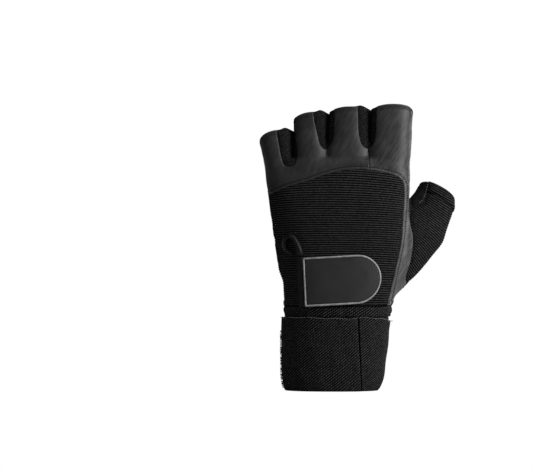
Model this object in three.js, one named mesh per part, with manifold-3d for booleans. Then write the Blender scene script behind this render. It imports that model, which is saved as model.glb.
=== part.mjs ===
// Weightlifting glove for the left hand, with a wound wrist wrap.
// It stands on the lower rim of the wrap. Millimetres: +Z runs from the wrist to the
// fingertips, -Y faces the back of the hand and +X points to the thumb side.
import * as THREE from 'three'
import Module from 'manifold-3d'
import { mergeVertices } from 'three/addons/utils/BufferGeometryUtils.js'

const wasm = await Module()
wasm.setup()

// Driving dimensions
const wall = 1.6              // leather, suede and stretch fabric
const seamGap = 0.3           // clear space between neighbouring pieces
const wristWidth = 76         // glove body at the waist
const wristDepth = 48
const handWidth = 108         // across the knuckles
const handDepth = 34
const palmLength = 100        // waist to the knuckle line
const fingerReach = 45.6      // knuckle line to the side of the longest rim
const fingerDepth = 23
const fingerCurl = 12         // how far the fingertips stand towards the palm side
const fingerGap = 1.2         // clear space between two fingers
const rimRise = 4.6           // finger rim, middle of the back above the sides
const rimDrop = 0.8           // finger rim, middle of the palm side below the sides
const gussetOverlap = 2.4     // each finger tube into its neighbour below the crotch
const thumbDepth = 26
const thumbLean = 14          // thumb opening towards the palm side
const thumbRimDrop = 9        // thumb rim, palm side below the back
const wrapHeight = 53
const wrapThickness = 1.2
const wrapTurns = 2.3
const wrapEnd = 17            // sideways place of the free end of the wrap
const cuffWidth = 80.4        // outside of the wrap at its upper edge
const cuffDepth = 54
const cuffShift = 2           // upper edge of the wrap towards the thumb side
const bandShow = 7.4          // cuff band above the wrap
const bandSkirt = 15          // cuff band inside the wrap
const bandWall = 1.4
const waistbandRise = 4       // elastic above the waist
const waistbandThickness = 1.6
const waistbandGathers = 22
const gatherDepth = 0.7
const tabLength = 56
const tabHeight = 35
const tabThickness = 2.4
const pipingWidth = 1.4
const anchorWidth = 4.2
const anchorThickness = 1.2
const pipingStand = 0.3       // piping above the face of the tab
const tabSlant = 1.6          // foot of the tab's left edge towards the thumb side
const loopWall = 1.3          // ribbon of the pull loop
const loopStand = 6           // how far the loop stands off the back
const loopBreadth = 12
const loopHeight = 13.6
const loopSide = 1.8          // loop beside the tab's left edge
const loopFoot = 1            // loop above the tab's upper edge
const crotchBelow = 7         // height over which two finger tubes part, under their crotch
const crotchAbove = 1.5       // and over it
const pastEnd = 15            // hollow cut past the waist

// Places worked out from the dimensions
const waistZ = wrapHeight + bandShow + seamGap
const knuckleZ = waistZ + palmLength
const tipZ = knuckleZ + fingerReach
const tabLeft = -0.205 * handWidth
const tabLow = waistZ + 0.006 * palmLength
const reach = 300             // longer than the glove, for cutting solids
const mm = (row) => [row.across * handWidth, waistZ + row.up * palmLength]

// Palm sections: height, growth from wrist to hand width, sideways shift, growth of depth
const palmSections = [
  { up: 0.000, grow: 0.00, shift: 0.024, deep: 0.00 },
  { up: 0.100, grow: 0.17, shift: 0.044, deep: 0.04 },
  { up: 0.175, grow: 0.30, shift: 0.058, deep: 0.08 },
  { up: 0.255, grow: 0.50, shift: 0.062, deep: 0.16 },
  { up: 0.355, grow: 0.63, shift: 0.067, deep: 0.28 },
  { up: 0.477, grow: 0.71, shift: 0.061, deep: 0.42 },
  { up: 0.620, grow: 0.75, shift: 0.048, deep: 0.57 },
  { up: 0.780, grow: 0.79, shift: 0.034, deep: 0.75 },
  { up: 0.930, grow: 0.90, shift: 0.025, deep: 1.00 },
  { up: 1.050, grow: 0.90, shift: 0.022, deep: 1.42 },
]

// Fingers from the little finger to the index: rim height over the knuckle line as a
// share of the reach, sideways slope of the rim
const fingers = [
  { name: 'little', rim: 0.47, slope: 0.17 },
  { name: 'ring', rim: 0.76, slope: 0.12 },
  { name: 'middle', rim: 0.85, slope: 0.03 },
  { name: 'index', rim: 0.89, slope: 0.03 },
]

// Lines between the fingers, from the outer side of the little finger to the outer side
// of the index: place at the knuckle line and at the tips, height of the crotch
const fingerLines = [
  { foot: -0.462, tip: -0.505, crotch: 0.00 },
  { foot: -0.277, tip: -0.287, crotch: 0.15 },
  { foot: -0.058, tip: -0.046, crotch: 0.42 },
  { foot: 0.234, tip: 0.228, crotch: 0.43 },
  { foot: 0.506, tip: 0.530, crotch: 0.00 },
]

// Thumb sections: outer side, inner side, thickness, lean towards the palm side
const thumbSections = [
  { outer: 0.385, outerUp: 0.05, inner: 0.18, innerUp: 0.17, thick: 1.00, lean: 0.10 },
  { outer: 0.480, outerUp: 0.15, inner: 0.22, innerUp: 0.31, thick: 1.22, lean: 0.20 },
  { outer: 0.568, outerUp: 0.25, inner: 0.26, innerUp: 0.47, thick: 1.28, lean: 0.32 },
  { outer: 0.655, outerUp: 0.36, inner: 0.33, innerUp: 0.61, thick: 1.24, lean: 0.46 },
  { outer: 0.720, outerUp: 0.45, inner: 0.41, innerUp: 0.70, thick: 1.18, lean: 0.58 },
  { outer: 0.748, outerUp: 0.54, inner: 0.48, innerUp: 0.75, thick: 1.10, lean: 0.72 },
  { outer: 0.785, outerUp: 0.65, inner: 0.54, innerUp: 0.82, thick: 1.02, lean: 0.87 },
  { outer: 0.810, outerUp: 0.75, inner: 0.58, innerUp: 0.89, thick: 1.00, lean: 1.00 },
]

// Wrist wrap: height as a share of the wrap's, left and right sides as shares of the
// half width at the upper edge, depth as a share of the cuff's
const cuffSections = [
  { up: 0.00, left: 0.95, right: 0.78, deep: 0.86 },
  { up: 0.10, left: 0.98, right: 0.84, deep: 0.90 },
  { up: 0.45, left: 1.00, right: 0.92, deep: 0.96 },
  { up: 1.00, left: 1.00, right: 1.00, deep: 1.00 },
]

// Seam lines on the back, across as a share of the hand width, up of the palm length
const hemLine = [
  { across: -0.600, up: 0.680 }, { across: -0.435, up: 0.787 },
  { across: -0.309, up: 0.883 }, { across: -0.160, up: 0.913 },
  { across: -0.020, up: 0.963 }, { across: 0.097, up: 0.973 },
  { across: 0.237, up: 0.968 }, { across: 0.355, up: 0.948 },
  { across: 0.425, up: 0.923 }, { across: 0.458, up: 0.888 },
  { across: 0.467, up: 0.825 }, { across: 0.462, up: 0.705 },
  { across: 0.440, up: 0.437 }, { across: 0.407, up: 0.276 },
  { across: 0.345, up: -0.040 },
]
const stripLine = [
  { across: 0.620, up: 1.000 }, { across: 0.540, up: 0.900 },
  { across: 0.508, up: 0.815 }, { across: 0.503, up: 0.705 },
  { across: 0.507, up: 0.592 }, { across: 0.524, up: 0.508 },
  { across: 0.524, up: 0.437 }, { across: 0.508, up: 0.317 },
  { across: 0.478, up: 0.190 }, { across: 0.520, up: 0.060 },
]
const indexSeam = [
  { across: 0.228, up: 1.150 }, { across: 0.240, up: 0.968 },
]
const thumbWebBack = [
  { across: 0.650, up: 0.960 }, { across: 0.628, up: 0.860 },
  { across: 0.586, up: 0.750 }, { across: 0.470, up: 0.690 },
]

// Outlines of the knitted strips between the fingers, open towards the fingertips
const gussets = [
  [
    { across: -0.378, up: 1.600 }, { across: -0.378, up: 1.240 },
    { across: -0.361, up: 1.134 }, { across: -0.348, up: 1.065 },
    { across: -0.330, up: 1.012 }, { across: -0.297, up: 0.999 },
    { across: -0.262, up: 1.020 }, { across: -0.248, up: 1.080 },
    { across: -0.262, up: 1.237 }, { across: -0.268, up: 1.600 },
  ],
  [
    { across: -0.134, up: 1.600 }, { across: -0.134, up: 1.361 },
    { across: -0.105, up: 1.220 }, { across: -0.089, up: 1.161 },
    { across: -0.057, up: 1.127 }, { across: -0.027, up: 1.161 },
    { across: -0.010, up: 1.211 }, { across: -0.003, up: 1.600 },
  ],
  [
    { across: 0.160, up: 1.600 }, { across: 0.163, up: 1.312 },
    { across: 0.172, up: 1.211 }, { across: 0.193, up: 1.154 },
    { across: 0.228, up: 1.135 }, { across: 0.257, up: 1.161 },
    { across: 0.275, up: 1.236 }, { across: 0.280, up: 1.600 },
  ],
]

// Seam lines on the palm side
const padLine = [
  { across: 0.535, up: 0.878 }, { across: 0.510, up: 0.874 },
  { across: 0.033, up: 0.852 }, { across: -0.600, up: 0.836 },
]
const suedeLine = [
  { across: 0.620, up: 0.950 }, { across: 0.564, up: 0.772 },
  { across: 0.538, up: 0.672 }, { across: 0.510, up: 0.613 },
  { across: 0.443, up: 0.534 }, { across: 0.381, up: 0.487 },
  { across: 0.306, up: 0.420 }, { across: 0.231, up: 0.380 },
  { across: 0.130, up: 0.334 }, { across: -0.087, up: 0.297 },
  { across: -0.600, up: 0.290 },
]
const heelLine = [
  { across: 0.088, up: 0.328 }, { across: 0.104, up: 0.231 },
  { across: 0.186, up: 0.137 }, { across: 0.315, up: 0.098 },
  { across: 0.388, up: 0.105 }, { across: 0.457, up: 0.145 },
  { across: 0.600, up: 0.260 },
]
const ribLine = [
  { across: 0.740, up: 0.860 }, { across: 0.693, up: 0.724 },
  { across: 0.615, up: 0.584 }, { across: 0.467, up: 0.326 },
  { across: 0.404, up: 0.211 }, { across: 0.314, up: 0.098 },
]
const webLine = [
  { across: 0.560, up: 0.920 }, { across: 0.524, up: 0.883 },
  { across: 0.429, up: 0.784 }, { across: 0.347, up: 0.690 },
  { across: 0.279, up: 0.584 }, { across: 0.143, up: 0.411 },
  { across: 0.098, up: 0.324 },
]
const tipBandDepth = 0.28     // smooth band under each finger rim, share of the reach

// Side seam between back and palm, which the thumb interrupts: shares as above
const sideSeam = { middle: 0.20, crotch: 0.522, crotchTop: 0.905, crotchLow: 0.70, foot: 0.19 }

// Pull loop, middle of its ribbon: away from the tab as a share of the loop's breadth,
// up as a share of its height
const loopLine = [
  { away: 0.000, up: 0.00 }, { away: 0.035, up: 0.25 }, { away: 0.207, up: 0.65 },
  { away: 0.468, up: 0.96 }, { away: 0.756, up: 1.00 }, { away: 1.000, up: 0.71 },
  { away: 0.900, up: 0.29 }, { away: 0.477, up: 0.00 },
]

// Colours of the finished pieces
const tone = (hex, roughness) => ({ color: hex, roughness, metalness: 0 })
const leatherTone = tone(0x34353a, 0.45)
const stripTone = tone(0x4a4b4f, 0.5)
const suedeTone = tone(0x1b1b1d, 0.95)
const ribTone = tone(0x17171a, 0.85)
const knitTone = tone(0x101012, 0.95)
const webbingTone = tone(0x1e1f22, 0.8)
const tabTone = tone(0x232427, 0.55)
const pipingTone = tone(0x8b8c8f, 0.6)

// Meshes and solids
function solidOf(geometry) {
  const bare = geometry.clone()
  bare.deleteAttribute('normal')
  bare.deleteAttribute('uv')
  const merged = mergeVertices(bare, 1e-4)
  return new wasm.Manifold(new wasm.Mesh({
    numProp: 3,
    vertProperties: new Float32Array(merged.attributes.position.array),
    triVerts: new Uint32Array(merged.index.array),
  }))
}

function geometryOf(solid) {
  const mesh = solid.getMesh()
  const geometry = new THREE.BufferGeometry()
  geometry.setAttribute('position', new THREE.BufferAttribute(mesh.vertProperties, 3))
  geometry.setIndex(new THREE.BufferAttribute(mesh.triVerts, 1))
  return geometry
}

// Closed skin over a row of rings, each a list of points, with a cap at both ends
function loft(rings) {
  const count = rings[0].length
  const points = []
  const faces = []
  for (const ring of rings) {
    for (const point of ring) points.push(point.x, point.y, point.z)
  }
  for (let row = 0; row < rings.length - 1; row++) {
    for (let i = 0; i < count; i++) {
      const a = row * count + i
      const b = row * count + (i + 1) % count
      faces.push(a, b, b + count, a, b + count, a + count)
    }
  }
  const last = rings.length - 1
  for (const [row, up] of [[0, false], [last, true]]) {
    const middle = new THREE.Vector3()
    for (const point of rings[row]) middle.addScaledVector(point, 1 / count)
    const hub = points.length / 3
    points.push(middle.x, middle.y, middle.z)
    for (let i = 0; i < count; i++) {
      const a = row * count + i
      const b = row * count + (i + 1) % count
      if (up) faces.push(a, b, hub)
      else faces.push(b, a, hub)
    }
  }
  const geometry = new THREE.BufferGeometry()
  geometry.setAttribute('position', new THREE.Float32BufferAttribute(points, 3))
  geometry.setIndex(faces)
  return solidOf(geometry)
}

// Solid swept from a list of cross-sections, each a closed list of points in order
function sweep(sections) {
  const solid = loft(sections)
  if (solid.volume() > 0) return solid
  return loft(sections.map((section) => [...section].reverse()))
}

function squareRoundPoint(angle, halfWidth, halfDepth, power) {
  const c = Math.cos(angle)
  const s = Math.sin(angle)
  const scale = (Math.abs(c) ** power + Math.abs(s) ** power) ** (-1 / power)
  return [halfWidth * c * scale, halfDepth * s * scale]
}

const mix = (a, b, share) => a + (b - a) * share

function readTable(table, key, at) {
  let k = 0
  while (k < table.length - 2 && table[k + 1].up < at) k++
  const low = table[k]
  const high = table[k + 1]
  return mix(low[key], high[key], (at - low.up) / (high.up - low.up))
}

// Middle of the glove's thickness, which bends towards the palm side near the fingertips
const spineY = (z) => fingerCurl * Math.max(0, (z - waistZ) / (tipZ - waistZ)) ** 3

// Glove body
const palmSides = 28
const palmPower = 2.5

function palmRing(up, grow, shift, deep, outset) {
  const z = waistZ + up * palmLength
  const halfWidth = mix(wristWidth, handWidth, grow) / 2 + outset
  const halfDepth = mix(wristDepth, handDepth, deep) / 2 + outset
  const ring = []
  for (let i = 0; i < palmSides; i++) {
    const angle = (2 * Math.PI * i) / palmSides
    const [x, y] = squareRoundPoint(angle, halfWidth, halfDepth, palmPower)
    ring.push(new THREE.Vector3(shift * handWidth + x, spineY(z) + y, z))
  }
  return ring
}

function palmTube(outset, lift = 0) {
  const rings = palmSections.map((row) => palmRing(row.up, row.grow, row.shift, row.deep, outset))
  if (lift !== 0) {
    rings[0].forEach((point) => { point.z -= pastEnd })
    rings[rings.length - 1].forEach((point) => { point.z -= lift })
  }
  return loft(rings)
}

// Fingers
const fingerSides = 14
const fingerPower = 2.4
const fingerRows = 7
const fingerRoot = 0.11       // root below the knuckle line, share of the palm length
const rootSwell = 1.2         // depth of a finger tube at its root over that at its rim
const rootTuck = 0.16         // finger tube drawn in at its root, share of its half width
const tuckRun = 0.35          // how far up the tube it is drawn in, share of its length

function fingerLineX(line, z) {
  return mix(line.foot, line.tip, (z - knuckleZ) / fingerReach) * handWidth
}

// Sideways clear space from a finger line: negative below the crotch, where tubes join
function spread(line, z) {
  if (line.crotch === 0) return 0
  const crotchZ = knuckleZ + line.crotch * fingerReach
  const rise = THREE.MathUtils.smoothstep(z, crotchZ - crotchBelow, crotchZ + crotchAbove)
  return mix(-gussetOverlap, fingerGap / 2, rise)
}

function fingerTube(index, outset) {
  const finger = fingers[index]
  const rootZ = knuckleZ - fingerRoot * palmLength
  const rimZ = knuckleZ + finger.rim * fingerReach
  const rings = []
  const extra = outset < 0 ? 1 : 0
  for (let row = 0; row < fingerRows + extra; row++) {
    const share = Math.min(1, row / (fingerRows - 1))
    const z = mix(rootZ, rimZ, share)
    const tuck = (1 - THREE.MathUtils.smoothstep(share, 0, tuckRun)) * rootTuck
    const left = fingerLineX(fingerLines[index], z) + spread(fingerLines[index], z)
    const right = fingerLineX(fingerLines[index + 1], z) - spread(fingerLines[index + 1], z)
    const halfWidth = ((right - left) / 2) * (1 - tuck) + outset
    const halfDepth = (fingerDepth / 2) * (rootSwell - (rootSwell - 1) * share - tuck) + outset
    const middleX = (left + right) / 2
    const past = row >= fingerRows ? wall * 4 : 0
    const ring = []
    for (let i = 0; i < fingerSides; i++) {
      const angle = (2 * Math.PI * i) / fingerSides
      const [x, y] = squareRoundPoint(angle, halfWidth, halfDepth, fingerPower)
      const bow = y < 0 ? -rimRise * (y / halfDepth) : -rimDrop * (y / halfDepth)
      const rimLift = (bow + finger.slope * x) * share
      ring.push(new THREE.Vector3(middleX + x, spineY(z) + y, z + rimLift + past))
    }
    rings.push(ring)
  }
  return loft(rings)
}

// Thumb
const thumbSides = 16
const thumbPower = 2.2

function thumbTube(outset) {
  const rings = thumbSections.map((row, k) => {
    const outer = new THREE.Vector3(row.outer * handWidth, 0, waistZ + row.outerUp * palmLength)
    const inner = new THREE.Vector3(row.inner * handWidth, 0, waistZ + row.innerUp * palmLength)
    const middle = outer.clone().add(inner).multiplyScalar(0.5)
    const across = outer.clone().sub(inner)
    const halfWidth = across.length() / 2 + outset
    across.normalize()
    const along = new THREE.Vector3(-across.z, 0, across.x)
    const halfDepth = (row.thick * thumbDepth) / 2 + outset
    const share = k / (thumbSections.length - 1)
    const ring = []
    for (let i = 0; i < thumbSides; i++) {
      const angle = (2 * Math.PI * i) / thumbSides
      const [a, b] = squareRoundPoint(angle, halfWidth, halfDepth, thumbPower)
      const drop = (-b / halfDepth) * (thumbRimDrop / 2) * share ** 2
      const point = middle.clone().addScaledVector(across, a).addScaledVector(along, drop)
      point.y = row.lean * thumbLean + b
      ring.push(point)
    }
    return { ring, along }
  })
  if (outset < 0) {
    const top = rings[rings.length - 1]
    const ring = top.ring.map((point) => point.clone().addScaledVector(top.along, wall * 4))
    rings.push({ ring, along: top.along })
  }
  return loft(rings.map((entry) => entry.ring))
}

function handSolid(outset, lift) {
  let solid = palmTube(outset, lift)
  fingers.forEach((finger, index) => { solid = solid.add(fingerTube(index, outset)) })
  return solid.add(thumbTube(outset))
}

// Cutting solids
// A flat outline seen from the front, cut through the whole depth
function prism(points) {
  const shape = new THREE.Shape(points.map(([x, z]) => new THREE.Vector2(x, z)))
  const geometry = new THREE.ExtrudeGeometry(shape, { depth: reach, bevelEnabled: false })
  geometry.translate(0, 0, -reach / 2)
  geometry.rotateX(Math.PI / 2)
  return solidOf(geometry)
}

// Smooth points through a few flat ones
function smoothThrough(flat, perSpan) {
  const points = flat.map(([x, z]) => new THREE.Vector3(x, z, 0))
  const spline = new THREE.CatmullRomCurve3(points, false, 'centripetal')
  return spline.getPoints((flat.length - 1) * perSpan).map((point) => [point.x, point.y])
}
const curve = (line) => smoothThrough(line.map(mm), 2)

// Band of an even width along a line, cut from the front through the whole depth
function bandAlong(points, width) {
  const sides = [[], []]
  points.forEach((point, k) => {
    const before = points[Math.max(0, k - 1)]
    const after = points[Math.min(points.length - 1, k + 1)]
    const length = Math.hypot(after[0] - before[0], after[1] - before[1])
    const normal = [-(after[1] - before[1]) / length, (after[0] - before[0]) / length]
    sides[0].push([point[0] + (normal[0] * width) / 2, point[1] + (normal[1] * width) / 2])
    sides[1].push([point[0] - (normal[0] * width) / 2, point[1] - (normal[1] * width) / 2])
  })
  return prism([...sides[0], ...sides[1].reverse()])
}

// The space on the back side (-1) or the palm side (+1) of a middle surface
const middleRows = 12

function halfSpace(side, middleY, shift = 0) {
  const points = []
  for (let k = 0; k <= middleRows; k++) {
    const z = mix(waistZ, tipZ, k / middleRows)
    points.push([middleY(z) + shift, z])
  }
  points.push([points[middleRows][0], reach], [side * reach, reach])
  points.push([side * reach, -reach], [points[0][0], -reach])
  const shape = new THREE.Shape(points.map(([y, z]) => new THREE.Vector2(y, z)))
  const geometry = new THREE.ExtrudeGeometry(shape, { depth: reach * 2, bevelEnabled: false })
  geometry.translate(0, 0, -reach)
  const turn = new THREE.Matrix4().set(0, 0, 1, 0, 1, 0, 0, 0, 0, 1, 0, 0, 0, 0, 0, 1)
  geometry.applyMatrix4(turn)
  return solidOf(geometry)
}

// The thumb leans towards the palm side, so its middle surface is its own
function thumbMiddleY(z) {
  const rows = thumbSections.map((row) => ({ up: (row.outerUp + row.innerUp) / 2, lean: row.lean }))
  const up = Math.min(Math.max((z - waistZ) / palmLength, rows[0].up), rows[rows.length - 1].up)
  return readTable(rows, 'lean', up) * thumbLean
}
const thumbSide = prism([
  { across: 0.50, up: 0.20 }, { across: 2.00, up: 0.20 }, { across: 2.00, up: 3.00 },
  { across: 0.56, up: 3.00 }, { across: 0.535, up: 0.885 }, { across: 0.522, up: 0.80 },
  { across: 0.50, up: 0.75 },
].map(mm))
const fingerHalf = (side) => halfSpace(side, spineY).subtract(thumbSide)
const thumbHalf = (side) => halfSpace(side, thumbMiddleY).intersect(thumbSide)
const backHalf = fingerHalf(-1).add(thumbHalf(-1))
const palmHalf = fingerHalf(1).add(thumbHalf(1))
const onBack = (solid) => solid.intersect(backHalf)
const onPalm = (solid) => solid.intersect(palmHalf)

// The shell of the whole hand
const outerHand = handSolid(0, 0)
const innerHand = handSolid(-wall, wall)
let shell = outerHand.subtract(innerHand)

// Seam slots
const gussetPoints = gussets.map((line) => curve(line))

function tipBandLine(index) {
  const left = fingerLines[index]
  const right = fingerLines[index + 1]
  const z = knuckleZ + (fingers[index].rim - tipBandDepth) * fingerReach
  const x = [fingerLineX(left, z) - wall, fingerLineX(right, z) + wall]
  const middle = (x[0] + x[1]) / 2
  return x.map((side) => [side, z + (side - middle) * fingers[index].slope])
}

const box = (x0, x1, z0, z1) => prism([[x0, z0], [x1, z0], [x1, z1], [x0, z1]])
const allGussets = gussetPoints.map((points) => prism(points)).reduce((sum, solid) => sum.add(solid))

// Side seam between back and palm: it passes the thumb above its crotch and below its foot
const sideSlot = halfSpace(-1, spineY, seamGap / 2).subtract(halfSpace(-1, spineY, -seamGap / 2))
const [crotchX, crotchTop] = mm({ across: sideSeam.crotch, up: sideSeam.crotchTop })
const [middleX, crotchLow] = mm({ across: sideSeam.middle, up: sideSeam.crotchLow })
const footTop = waistZ + sideSeam.foot * palmLength
const sideRegions = [
  box(-reach / 2, middleX, -reach / 2, reach),
  box(middleX, crotchX, crotchLow, reach),
  box(middleX, reach / 2, crotchTop, reach),
  box(middleX, reach / 2, -reach / 2, footTop),
]
const backLines = [hemLine, stripLine, thumbWebBack, indexSeam].map((line) => curve(line))
const palmLines = [padLine, suedeLine, heelLine, ribLine, webLine].map((line) => curve(line))
fingers.forEach((finger, index) => palmLines.push(tipBandLine(index)))
const halfSlots = [
  ...backLines.map((points) => onBack(bandAlong(points, seamGap))),
  ...palmLines.map((points) => onPalm(bandAlong(points, seamGap))),
  ...sideRegions.map((region) => sideSlot.intersect(region)),
].map((cut) => cut.subtract(allGussets))
const slots = [...gussetPoints.map((points) => bandAlong(points, seamGap)), ...halfSlots]
for (const cut of slots) shell = shell.subtract(cut)

const group = new THREE.Group()

function addPiece(name, solid, finish) {
  const mesh = new THREE.Mesh(geometryOf(solid), new THREE.MeshStandardMaterial(finish))
  mesh.name = name
  group.add(mesh)
}

// The slots part the shell into its pieces. A piece is the part that fills most of a small
// probe, which is set by a point seen from the front.
const parted = shell.decompose()
const probeSize = 3

function partAt(side, across, up) {
  const [x, z] = mm({ across, up })
  const probe = box(x - probeSize, x + probeSize, z - probeSize, z + probeSize)
  const half = probe.intersect(side < 0 ? backHalf : palmHalf)
  const shares = parted.map((solid) => solid.intersect(half).volume())
  return parted[shares.indexOf(Math.max(...shares))]
}

const back = -1
const palm = 1
const shellPieces = [
  { name: 'knuckle_leather', side: back, across: 0.06, up: 1.10, finish: leatherTone },
  { name: 'index_leather', side: back, across: 0.38, up: 1.20, finish: stripTone },
  { name: 'back_panel', side: back, across: 0.05, up: 0.60, finish: ribTone },
  { name: 'palm_suede_upper', side: palm, across: 0.06, up: 1.00, finish: suedeTone },
  { name: 'palm_suede_lower', side: palm, across: -0.10, up: 0.60, finish: suedeTone },
  { name: 'web_suede', side: palm, across: 0.36, up: 0.60, finish: suedeTone },
  { name: 'thumb_leather', side: palm, across: 0.36, up: 0.28, finish: leatherTone },
  { name: 'heel_leather', side: palm, across: -0.10, up: 0.18, finish: leatherTone },
  { name: 'thumb_back', side: back, across: 0.62, up: 0.50, finish: ribTone },
]
for (const row of shellPieces) addPiece(row.name, partAt(row.side, row.across, row.up), row.finish)

gussets.forEach((line, index) => {
  const foot = line.reduce((low, row) => (row.up < low.up ? row : low))
  const piece = partAt(back, foot.across, foot.up + 0.03)
  addPiece(`fourchette_${fingers[index].name}`, piece, knitTone)
})
fingers.forEach((finger, index) => {
  const across = (fingerLines[index].tip + fingerLines[index + 1].tip) / 2
  const up = 1 + ((finger.rim - tipBandDepth / 2) * fingerReach) / palmLength
  addPiece(`${finger.name}_tip_band`, partAt(palm, across, up), leatherTone)
})

// Layers of an even thickness that lie over the back of the glove body
const layer = (low, high) => onBack(palmTube(high).subtract(palmTube(low)))

function tabOutline(grow) {
  const left = tabLeft - grow
  const low = tabLow - grow
  const high = low + tabHeight + 2 * grow
  const radius = (high - low) / 2
  const right = left + tabLength + 2 * grow
  const points = [[left + tabSlant, low], [left, high]]
  const steps = 14
  for (let k = 0; k <= steps; k++) {
    const angle = Math.PI * (0.5 - k / steps)
    points.push([right - radius + radius * Math.cos(angle), (low + high) / 2 + radius * Math.sin(angle)])
  }
  return points
}
const tabBase = anchorThickness + seamGap
const tabLayer = layer(tabBase, tabBase + tabThickness)
addPiece('strap_tab', tabLayer.intersect(prism(tabOutline(-pipingWidth - seamGap))), tabTone)
const pipingRing = prism(tabOutline(0)).subtract(prism(tabOutline(-pipingWidth)))
const pipingLayer = layer(tabBase, tabBase + tabThickness + pipingStand)
addPiece('tab_piping', pipingLayer.intersect(pipingRing), pipingTone)

// The tab is carried by a hooked patch on the back and by its sewn foot beside it
const patchRegion = prism(tabOutline(-pipingWidth * 2))
addPiece('tab_hook_patch', layer(seamGap, anchorThickness).intersect(patchRegion), knitTone)
const footLeft = tabLeft - seamGap
const footRegion = prism([
  [footLeft + tabSlant, tabLow], [footLeft, tabLow + tabHeight],
  [footLeft - anchorWidth, tabLow + tabHeight], [footLeft - anchorWidth + tabSlant, tabLow],
])
addPiece('tab_anchor', layer(seamGap, seamGap + anchorThickness).intersect(footRegion), webbingTone)

// Pull loop: a ribbon bent into a leaf shape that stands on edge
const loopPlaces = loopLine.map((row) => [
  tabLeft - loopSide - row.away * loopBreadth,
  tabLow + tabHeight + loopFoot + row.up * loopHeight,
])
const loopRegion = bandAlong(smoothThrough(loopPlaces, 4), loopWall)
addPiece('pull_loop', layer(seamGap, loopStand).intersect(loopRegion), webbingTone)

// Cuff sections, drawn in from the outside of the wrap
const cuffPower = 2.3

function cuffPoint(z, angle, inset) {
  const up = z / wrapHeight
  const half = cuffWidth / 2
  const left = cuffShift - half * readTable(cuffSections, 'left', up)
  const right = cuffShift + half * readTable(cuffSections, 'right', up)
  const halfDepth = (cuffDepth / 2) * readTable(cuffSections, 'deep', up) - inset
  const [x, y] = squareRoundPoint(angle, (right - left) / 2 - inset, halfDepth, cuffPower)
  return new THREE.Vector3((left + right) / 2 + x, y, z)
}

// Wrist wrap: one strap wound inwards from its free end on the back
const wrapPitch = wrapThickness + seamGap
const wrapSteps = 28
const wrapRows = cuffSections.map((row) => row.up * wrapHeight)

// Angle at which the outside of the wrap reaches the sideways place of its free end
function freeEndAngle() {
  let low = -Math.PI / 2
  let high = 0
  for (let k = 0; k < 30; k++) {
    const middle = (low + high) / 2
    if (cuffPoint(wrapHeight, middle, 0).x < wrapEnd) low = middle
    else high = middle
  }
  return low
}
const freeAngle = freeEndAngle()
const wrapStations = []
for (let k = 0; k <= wrapTurns * wrapSteps; k++) {
  const turned = k / wrapSteps
  const angle = freeAngle - turned * 2 * Math.PI
  const inset = turned * wrapPitch
  const outside = wrapRows.map((z) => cuffPoint(z, angle, inset))
  const inside = wrapRows.map((z) => cuffPoint(z, angle, inset + wrapThickness)).reverse()
  wrapStations.push([...outside, ...inside])
}
addPiece('wrist_wrap', sweep(wrapStations), webbingTone)

// Cuff band: a skirt inside the wrap and a rim between the wrap and the glove body
const bandInset = (wrapTurns + 1) * wrapPitch
const bandSides = 28

function bandRing(z, inset, blend) {
  const ring = []
  for (let i = 0; i < bandSides; i++) {
    const angle = (2 * Math.PI * i) / bandSides
    const low = cuffPoint(Math.min(z, wrapHeight), angle, inset + bandInset)
    const [x, y] = squareRoundPoint(angle, wristWidth / 2 - inset, wristDepth / 2 - inset, palmPower)
    const shift = palmSections[0].shift * handWidth
    ring.push(new THREE.Vector3(mix(low.x, shift + x, blend), mix(low.y, y, blend), z))
  }
  return ring
}
const bandTop = waistZ - seamGap
const rimLow = wrapHeight + seamGap
const bandRings = (inset, past) => [
  bandRing(wrapHeight - bandSkirt - past, inset, 0),
  bandRing(rimLow - seamGap / 5, inset, 0),
  bandRing(rimLow + inset, inset, 1),
  bandRing(bandTop + past, inset, 1),
]
addPiece('cuff_band', loft(bandRings(0, 0)).subtract(loft(bandRings(bandWall, 1))), leatherTone)

// Waistband: gathered elastic laid over the palm side of the waist
const waistSteps = waistbandGathers * 2
const waistbandStart = 0.06   // its two ends, share of the half turn round the palm side
const waistHeights = [wrapHeight + bandShow * 0.3, waistZ, waistZ + waistbandRise]
const gatherShares = [0.4, 1, 0.4]
const waistbandClear = seamGap * 1.5

function waistPoint(z, angle, out) {
  const up = Math.max(0, (z - waistZ) / palmLength)
  const width = mix(wristWidth, handWidth, readTable(palmSections, 'grow', up)) / 2 + out
  const depth = mix(wristDepth, handDepth, readTable(palmSections, 'deep', up)) / 2 + out
  const [x, y] = squareRoundPoint(angle, width, depth, palmPower)
  return new THREE.Vector3(readTable(palmSections, 'shift', up) * handWidth + x, spineY(z) + y, z)
}

const waistStations = []
for (let k = 0; k <= waistSteps; k++) {
  const share = k / waistSteps
  const angle = mix(waistbandStart, 1 - waistbandStart, share) * Math.PI
  const gather = gatherDepth * Math.sin(share * waistbandGathers * Math.PI) ** 2
  const outer = waistHeights.map((z, row) => {
    return waistPoint(z, angle, waistbandThickness + seamGap + gather * gatherShares[row])
  })
  const inner = waistHeights.map((z) => waistPoint(z, angle, waistbandClear)).reverse()
  waistStations.push([...outer, ...inner])
}
addPiece('waistband', sweep(waistStations), ribTone)

// The origin is the middle of the bottom of the whole glove
const whole = new THREE.Box3().setFromObject(group)
group.position.set(-(whole.min.x + whole.max.x) / 2, -(whole.min.y + whole.max.y) / 2, -whole.min.z)

export default group
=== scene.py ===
import math

import bpy
import numpy as np
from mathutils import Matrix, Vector
from mathutils.bvhtree import BVHTree


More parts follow.
